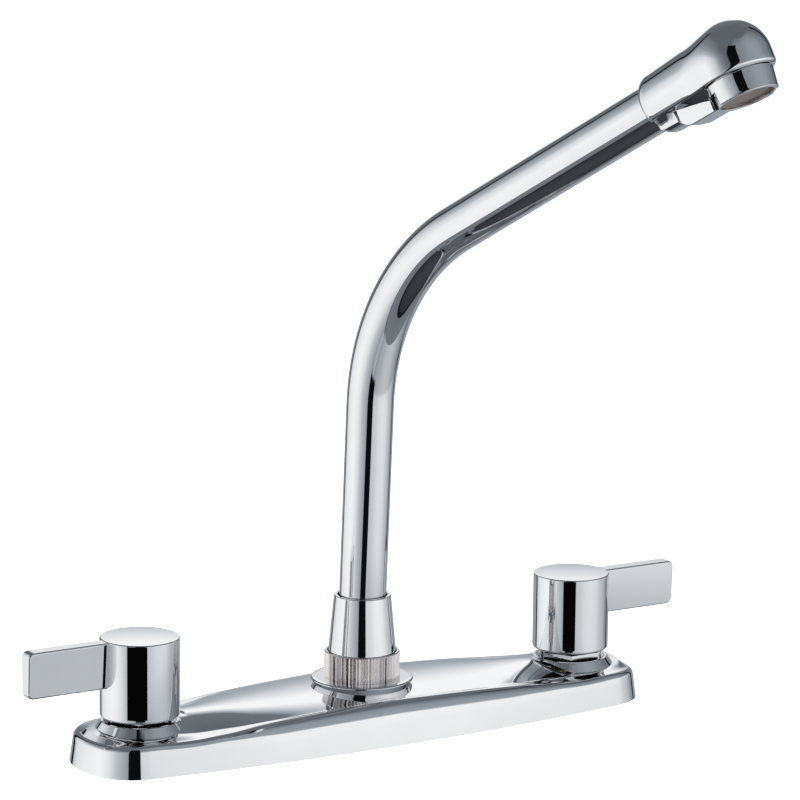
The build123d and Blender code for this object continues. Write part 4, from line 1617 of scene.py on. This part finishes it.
@dataclass
class KnurledNut:
    """The nut that keeps the spout down, with straight uneven ridges."""

    radius: float = 15.4
    foot: float = 21.2
    top: float = 32.0
    band: float = 0.35
    depth: float = 0.65
    bore: float = 12.55
    neck: float = 9.7
    web_top: float = 31.2
    web_bottom: float = 28.8
    recess: float = 14.15
    rim_start: float = 0.8
    rim_edge: float = 0.3
    rim_swell: float = 0.35
    ridge_share: float = 0.98
    unevenness: float = 0.35
    count: int = 72
    seed: int = 7

    def build(self, shop: Workshop) -> None:
        """Turn the nut's core and grow the ridges on it.

        Args:
            shop: The shared materials and geometry trees.
        """
        core = self.radius - self.depth
        profile = rounded([
            (self.bore, self.foot, 0), (core, self.foot, 0.1),
            (core, self.top - self.rim_start, 0.1),
            (core + self.rim_swell, self.top - self.rim_edge, 0.1), (core + 0.1, self.top, 0.1),
            (self.recess, self.top, 0.1),
            (self.recess, self.web_top, 0), (self.neck, self.web_top, 0.2),
            (self.neck, self.web_bottom, 0), (self.bore, self.web_bottom, 0)])
        nut = lathe("nut_core", profile, 144, loop=True)
        grown = shop.trees["knurl"].grow(
            nut, "knurled_nut_ridged", shop.finishes[Slot.KNURL],
            {"Radius": core * MM, "Foot": (self.foot + 0.05) * MM,
             "Height": (self.top - self.foot - self.band) * MM,
             "Depth": self.depth * MM, "Width": pi * core / self.count * self.ridge_share * MM,
             "Unevenness": self.unevenness, "Count": self.count, "Seed": self.seed})
        put(grown, "faucet_body", Slot.KNURL, shop, ["knurled_nut"])


@dataclass
class ValveBody:
    """One brass valve body, with a pipe thread cut in its shank."""

    side: Side
    waterway: float = 5.5
    shank: float = 10.4
    shank_end: float = -55.0
    shank_chamfer: float = 1.2
    supply_top: float = -35.0
    relief_width: float = 1.5
    thread_top: float = -2.0
    pitch: float = 1.814
    thread_depth: float = 0.75
    base: float = 2.5
    flange: float = 16.5
    flange_top: float = 4.0
    body: float = 13.5
    roof: float = 13.0
    neck: float = 9.9
    neck_top: float = 17.0
    bore: float = 7.6
    seat: float = 0.5
    thread_sink: float = 0.05
    lower_margins: Point2 = (1.4, 0.8)
    upper_margins: Point2 = (0.9, 0.2)
    steps_per_turn: int = 48

    def build(self, shop: Workshop) -> None:
        """Turn the body and wind both runs of the thread on its shank.

        Args:
            shop: The shared materials and geometry trees.
        """
        root = self.shank - self.thread_depth
        depth = self.thread_depth + self.thread_sink
        relief_top = self.supply_top + self.relief_width
        groove = self.shank - depth
        name = f"{self.side.label}_valve"
        body = lathe(f"{name}_core", rounded([
            (self.waterway, self.shank_end, 0), (root - 0.6, self.shank_end, 0.2),
            (root, self.shank_end + self.shank_chamfer, 0.2), (root, self.supply_top, 0),
            (groove, self.supply_top, 0), (groove, relief_top, 0), (root, relief_top, 0),
            (root, self.thread_top, 0), (self.shank, self.thread_top + 0.5, 0.1),
            (self.shank, self.base, 0), (self.flange, self.base, 0.2),
            (self.flange, self.flange_top, 0.3), (self.body, self.flange_top, 0.3),
            (self.body, self.roof, 0.3), (self.neck, self.roof, 0.2),
            (self.neck, self.neck_top, 0.3), (self.bore, self.neck_top, 0.2),
            (self.bore, self.seat, 0), (self.waterway, self.seat, 0)]), 128, loop=True)
        for label, foot, top, (below, above) in (
                ("supply", self.shank_end, self.supply_top, self.lower_margins),
                ("threaded", relief_top, self.thread_top, self.upper_margins)):
            start, end = foot + below, top - above
            body = shop.trees["thread"].grow(
                body, f"{name}_body_{label}", shop.finishes[Slot.BRASS],
                {"Radius": (root - self.thread_sink) * MM, "Foot": start * MM,
                 "Length": (end - start) * MM,
                 "Pitch": self.pitch * MM, "Depth": depth * MM,
                 "Steps": self.steps_per_turn})
        body.data.transform(self.side.stand())
        put(body, "faucet_body", Slot.BRASS, shop, [f"{name}_body"], sharp=35)


# --- Surroundings -------------------------------------------------------------


def grey(level: float) -> float:
    """Linear value of a display grey from 0 to 255."""
    share = level / 255
    return share / 12.92 if share <= 0.04045 else ((share + 0.055) / 1.055) ** 2.4


def stepped(tree: Tree, value: Socket, low: float, high: float,
            stops: Sequence[tuple[float, Point3]]) -> Socket:
    """Read a colour from stops spread over a value's range.

    Args:
        tree: The node tree to add to.
        value: The socket that is read.
        low: Value at the start of the range.
        high: Value at its end.
        stops: (value, colour) pairs in rising order.

    Returns:
        The colour's socket.
    """
    node = add_node(tree, "ShaderNodeValToRGB", {"Fac": ramp(tree, value, low, high)})
    bar = node.color_ramp
    bar.elements.remove(bar.elements[-1])
    for k, (place, colour) in enumerate(stops):
        share = (place - low) / (high - low)
        element = bar.elements[0] if k == 0 else bar.elements.new(share)
        element.position = share
        element.color = (*colour, 1)
    return node.outputs["Color"]


def greys(tree: Tree, value: Socket, low: float, high: float,
          tones: Sequence[Point2]) -> Socket:
    """Read a brightness from (value, display grey) stops over a value's range."""
    return stepped(tree, value, low, high, [(at, (grey(level),) * 3) for at, level in tones])


TINTS = [
    (0.0, (0.0035, 0.0038, 0.0045)), (0.114, (0.105, 0.113, 0.130)),
    (0.3, (0.275, 0.302, 0.335)), (0.6, (0.582, 0.604, 0.63)),
    (0.85, (0.843, 0.85, 0.858)), (1.0, (0.99, 1.0, 1.01))]


def tinted(tree: Tree, tone: Socket) -> Socket:
    """Colour a brightness: cool in the mid greys, nearly neutral at both ends.

    Args:
        tree: The node tree to add to.
        tone: The brightness.

    Returns:
        The colour's socket.
    """
    return stepped(tree, tone, 0.0, 1.0, TINTS)


def glowing(name: str) -> tuple[Material, Tree, Node]:
    """Start a material that only gives light, and give its emission node.

    Args:
        name: The material's name.

    Returns:
        The material, its node tree and its emission node.
    """
    made, tree = new_material(name)
    tree.nodes.remove(tree.nodes["Principled BSDF"])
    glow = add_node(tree, "ShaderNodeEmission")
    fill(tree, tree.nodes["Material Output"], {"Surface": glow.outputs[0]})
    return made, tree, glow


@dataclass
class Studio:
    """Floor, soft boxes round the faucet, dark gap between them, and the camera.

    Directions round the faucet are in degrees from the way to the camera,
    positive to its right. Lengths are in metres, brightness in display greys.
    """

    azimuth: float = 31.8
    pitch: float = 11.1
    roll: float = 0.6
    distance: float = 1.613
    focal_pixels: float = 4040.0
    aim_across: float = 0.0143
    aim_height: float = 0.1348
    sensor: float = 36.0
    frame_pixels: float = 800.0
    drum_radius: float = 0.9
    drum_foot: float = -0.75
    drum_top: float = 2.15
    gap_half: float = 13.0
    gap_top: float = 1.15
    gap_foot: float = -0.3
    seam_from: float = 132.0
    seam_to: float = 138.5
    blur: float = 0.4
    ceiling: float = 97.0
    under_tones: tuple[Point2, ...] = (
        (0.0, 62), (0.5, 48), (0.51, 20), (0.56, 20), (0.57, 112), (0.9, 118))
    round_tones: tuple[Point2, ...] = (
        (-180, 172), (-138, 138), (-125, 215), (-118, 226), (-100, 236), (-78, 242),
        (-60, 231), (-49, 216), (-39, 191), (-29, 175), (-14, 150),
        (14, 196), (29, 204), (39, 214), (49, 222), (66, 227), (84, 219), (97, 198),
        (113, 182), (125, 142), (138, 140), (180, 172))
    full_tone: float = 236.0
    left_tones: tuple[Point2, ...] = (
        (-0.75, 20), (-0.69, 20), (-0.68, 236), (0.14, 236), (0.38, 215), (0.5, 175),
        (0.65, 148), (0.8, 130), (1.0, 119), (1.25, 107), (1.35, 97), (2.15, 97))
    right_tones: tuple[Point2, ...] = (
        (-0.75, 196), (-0.235, 196), (-0.2, 228), (-0.1, 235), (0.0, 250), (0.16, 252),
        (0.23, 205), (0.3, 165), (0.4, 160), (1.3, 150), (2.0, 130), (2.15, 120))
    back_tones: tuple[Point2, ...] = (
        (-0.75, 150), (-0.15, 150), (0.05, 160), (0.14, 176), (0.27, 216), (0.38, 243),
        (0.5, 243), (0.62, 190), (0.76, 112), (2.15, 97))
    dim_tones: tuple[Point2, ...] = (
        (-0.75, 150), (-0.15, 150), (0.05, 130), (0.3, 105), (2.15, 97))
    window_half: float = 16.0
    chrome_share: float = 0.85
    floor_glow: float = 0.75
    fill_light: float = 0.3
    # Radius of the cards that paint a dark reflection on each barrel.
    flag_radius: float = 0.0173
    floor_half: float = 6.0
    lamp_height: float = 1.5
    lamp_power: float = 12.0

    def axes(self) -> tuple[Vector, Vector, Vector]:
        """The camera's right, up and forward directions.

        Returns:
            Three unit vectors.
        """
        az, pitch, roll = (radians(v) for v in (self.azimuth, self.pitch, self.roll))
        forward = Vector((sin(az) * cos(pitch), cos(az) * cos(pitch),
                          -sin(pitch)))
        right = Vector((cos(az), -sin(az), 0))
        up = right.cross(forward)
        return (right * cos(roll) + up * sin(roll),
                up * cos(roll) - right * sin(roll), forward)

    def eye(self) -> Vector:
        """Where the camera stands.

        Returns:
            The place, in metres.
        """
        az = radians(self.azimuth)
        target = Vector((self.aim_across * cos(az), -self.aim_across * sin(az),
                         self.aim_height))
        return target - self.axes()[2] * self.distance

    def camera(self) -> None:
        """Stand the camera where the picture was taken from."""
        right, up, forward = self.axes()
        data = bpy.data.cameras.new("camera")
        data.sensor_width = self.sensor
        data.lens = self.focal_pixels / self.frame_pixels * self.sensor
        data.clip_start, data.clip_end = 0.01, 50
        camera = linked("camera", data)
        turn = Matrix((right, up, -forward)).transposed().to_4x4()
        camera.matrix_world = Matrix.Translation(self.eye()) @ turn
        bpy.context.scene.camera = camera

    def floor(self) -> None:
        """Lay a wide white floor that keeps a soft shadow."""
        half = self.floor_half
        floor = object_from("floor", [(-half, -half, 0), (half, -half, 0), (half, half, 0),
                                      (-half, half, 0)], [(0, 1, 2, 3)])
        made, tree = new_material("white_floor")
        shader = fill(tree, tree.nodes["Principled BSDF"], {
            "Roughness": 0.9, "Base Color": (0.9, 0.9, 0.9, 1)})
        seen = add_node(tree, "ShaderNodeLightPath").outputs["Is Camera Ray"]
        glow = add_node(tree, "ShaderNodeEmission", {
            "Strength": ramp(tree, seen, 0.0, 1.0, 0.0, self.floor_glow)})
        both = add_node(tree, "ShaderNodeAddShader", {0: shader.outputs[0], 1: glow.outputs[0]})
        fill(tree, tree.nodes["Material Output"], {"Surface": both.outputs[0]})
        floor.data.materials.append(made)
        floor.visible_glossy = False

    def wall_tone(self, tree: Tree) -> Socket:
        """Brightness of the soft boxes, the gap and the seams, over the drum's wall.

        Args:
            tree: The node tree to add to.

        Returns:
            The brightness's socket.
        """
        turned = add_node(tree, "ShaderNodeMapping", {
            "Vector": own_place(tree), "Rotation": (0, 0, radians(90 + self.azimuth))},
            vector_type="POINT")
        x, y, height = add_node(tree, "ShaderNodeSeparateXYZ", {0: turned.outputs[0]}).outputs
        way = maths(tree, "DEGREES", maths(tree, "ARCTAN2", y, x))
        aside = maths(tree, "ABSOLUTE", way)
        around = greys(tree, way, -180, 180, self.round_tones)
        left, right, back, dim = (
            greys(tree, height, self.drum_foot, self.drum_top, tones)
            for tones in (self.left_tones, self.right_tones, self.back_tones, self.dim_tones))
        sides = mixed(tree, ramp(tree, way, -1.0, 1.0), left, right)
        front = maths(tree, "DIVIDE", maths(tree, "MULTIPLY", around, sides),
                      grey(self.full_tone))
        edge, middle = 180 - self.window_half, (self.seam_from + self.seam_to) / 2
        window = mixed(tree, ramp(tree, aside, edge - 2, edge + 2), dim, back)
        behind = mixed(tree, ramp(tree, aside, middle - 0.1, middle + 0.1), front, window)
        lit = maths(tree, "MAXIMUM", behind, grey(self.ceiling))
        mask = stepped(tree, aside, 0, 180, [(at, (level,) * 3) for at, level in (
            (0, 0), (self.gap_half - self.blur, 0), (self.gap_half + self.blur, 1),
            (self.seam_from - self.blur, 1), (self.seam_from, 0), (self.seam_to, 0),
            (self.seam_to + self.blur, 1), (180, 1))])
        above = ramp(tree, height, self.gap_top - 0.01, self.gap_top + 0.01)
        below = ramp(tree, height, self.gap_foot - 0.02, self.gap_foot + 0.02, 1.0, 0.0)
        shown = maths(tree, "MAXIMUM", mask, maths(tree, "MAXIMUM", above, below))
        return maths(tree, "MULTIPLY", lit, shown)

    def card_tone(self, tree: Tree, tones: Sequence[Point2]) -> Socket:
        """Brightness of a level card, by the distance from its middle.

        Args:
            tree: The node tree to add to.
            tones: Stops of distance and display grey.

        Returns:
            The brightness's socket.
        """
        level = add_node(tree, "ShaderNodeVectorMath", {0: own_place(tree), 1: (1, 1, 0)},
                         operation="MULTIPLY")
        reach = add_node(tree, "ShaderNodeVectorMath", {0: level.outputs[0]},
                         operation="LENGTH")
        return greys(tree, reach.outputs["Value"], 0.0, self.drum_radius, tones)

    def drum(self) -> None:
        """Stand the ring of soft boxes, its ceiling and its lower card."""
        count = 180
        ring = [polar(self.drum_radius, tau * k / count) for k in range(count)]
        low, high = ([(x, y, z) for x, y in ring] for z in (self.drum_foot, self.drum_top))
        cap, plain = [tuple(range(count))], ((0, self.ceiling), (0.9, self.ceiling))
        for name, points, faces, tones in (
                ("panel_wall", low + high, skin(2, count), ()),
                ("panel_ceiling", high, cap, plain),
                ("panel_under", low, cap, self.under_tones)):
            piece = object_from(name, points, faces)
            made, tree, glow = glowing(name)
            tone = self.card_tone(tree, tones) if tones else self.wall_tone(tree)
            fill(tree, glow, {"Color": tinted(tree, tone), "Strength": 1 / self.chrome_share})
            piece.data.materials.append(made)
            piece.visible_camera = piece.visible_shadow = False

    def flag(self, side: Side, start: float, end: float, low: float, high: float) -> None:
        """Stand a dark card close in front of one handle's barrel: a painted dark reflection that
        only glossy rays see.

        Args:
            side: Which handle it stands at.
            start: Its left edge, in degrees from the way to the camera.
            end: Its right edge.
            low: Height of its lower edge, in millimetres.
            high: Height of its upper edge.
        """
        axis = side.stand().translation
        away = self.eye() - axis
        steps, points = 24, []
        for height in (low, high):
            for k in range(steps + 1):
                angle = atan2(away.y, away.x) + radians(
                    start + (end - start) * k / steps)
                x, y = polar(self.flag_radius, angle)
                points.append((axis.x + x, y, height * MM))
        card = object_from(f"{side.label}_flag", points, [
            (k, steps + 1 + k, steps + 2 + k, k + 1) for k in range(steps)])
        # A nearly black glow, clear from outside: the card only paints a dark band into the
        # barrel's reflection.
        made, tree, glow = glowing(f"{side.label}_dark_card")
        glow.inputs["Strength"].default_value = 0.002
        clear = add_node(tree, "ShaderNodeBsdfTransparent")
        outside = add_node(tree, "ShaderNodeNewGeometry").outputs["Backfacing"]
        pick = add_node(tree, "ShaderNodeMixShader", {
            0: outside, 1: glow.outputs[0], 2: clear.outputs[0]})
        fill(tree, tree.nodes["Material Output"], {"Surface": pick.outputs[0]})
        card.data.materials.append(made)
        card.visible_camera = card.visible_diffuse = card.visible_shadow = False

    def lamp(self) -> None:
        """Hang a wide soft lamp over the faucet that the chrome doesn't show."""
        data = bpy.data.lights.new("overhead", "AREA")
        data.shape, data.size, data.energy = "DISK", 1.0, self.lamp_power
        lamp = linked("overhead", data)
        lamp.location = (0, 0, self.lamp_height)
        lamp.visible_glossy = lamp.visible_camera = False

    def sky(self) -> None:
        """Make the backdrop white to the camera and in reflections, grey for light."""
        world = bpy.data.worlds.new("white_room")
        world.use_nodes = True
        tree = world.node_tree
        path = add_node(tree, "ShaderNodeLightPath")
        total = path.outputs["Is Camera Ray"]
        for label in ("Is Glossy Ray", "Is Transmission Ray"):
            total = maths(tree, "MAXIMUM", total, path.outputs[label])
        fill(tree, tree.nodes["Background"], {
            "Color": (1, 1, 1, 1), "Strength": ramp(tree, total, 0.0, 1.0, self.fill_light, 1.0)})
        bpy.context.scene.world = world

    def build(self) -> None:
        """Set up everything round the faucet."""
        bpy.context.scene.view_settings.view_transform = "Standard"
        self.camera()
        self.floor()
        self.drum()
        # Cards that paint a dark reflected band on each barrel; the camera and the floor never see
        # them.
        self.flag(Side.HOT, start=-19.7, end=12.0, low=19.9, high=50.1)
        self.flag(Side.COLD, start=-12.5, end=8.2, low=21.7, high=51.9)
        self.lamp()
        self.sky()
        log.info("studio set up")


def main() -> None:
    """Load the frame and build the faucet, piece by piece."""
    logging.basicConfig(level=logging.INFO, format="%(name)s: %(message)s")
    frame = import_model()
    shop = Workshop(frame)
    shop.stock()
    shop.dress_solids()
    Handle(Side.HOT, bottom=18.7).build(shop)
    Handle(Side.COLD, bottom=20.5).build(shop)
    tube = SpoutTube()
    tube.build(shop)
    Ferrule().build(shop)
    head = SpoutHead(tube)
    head.build(shop)
    AeratorRing(head).build(shop)
    AeratorScreen(head).build(shop)
    KnurledNut().build(shop)
    DeckPlate().build(shop)
    for side in Side:
        ValveBody(side).build(shop)
    Studio().build()


if __name__ == "__main__":
    main()
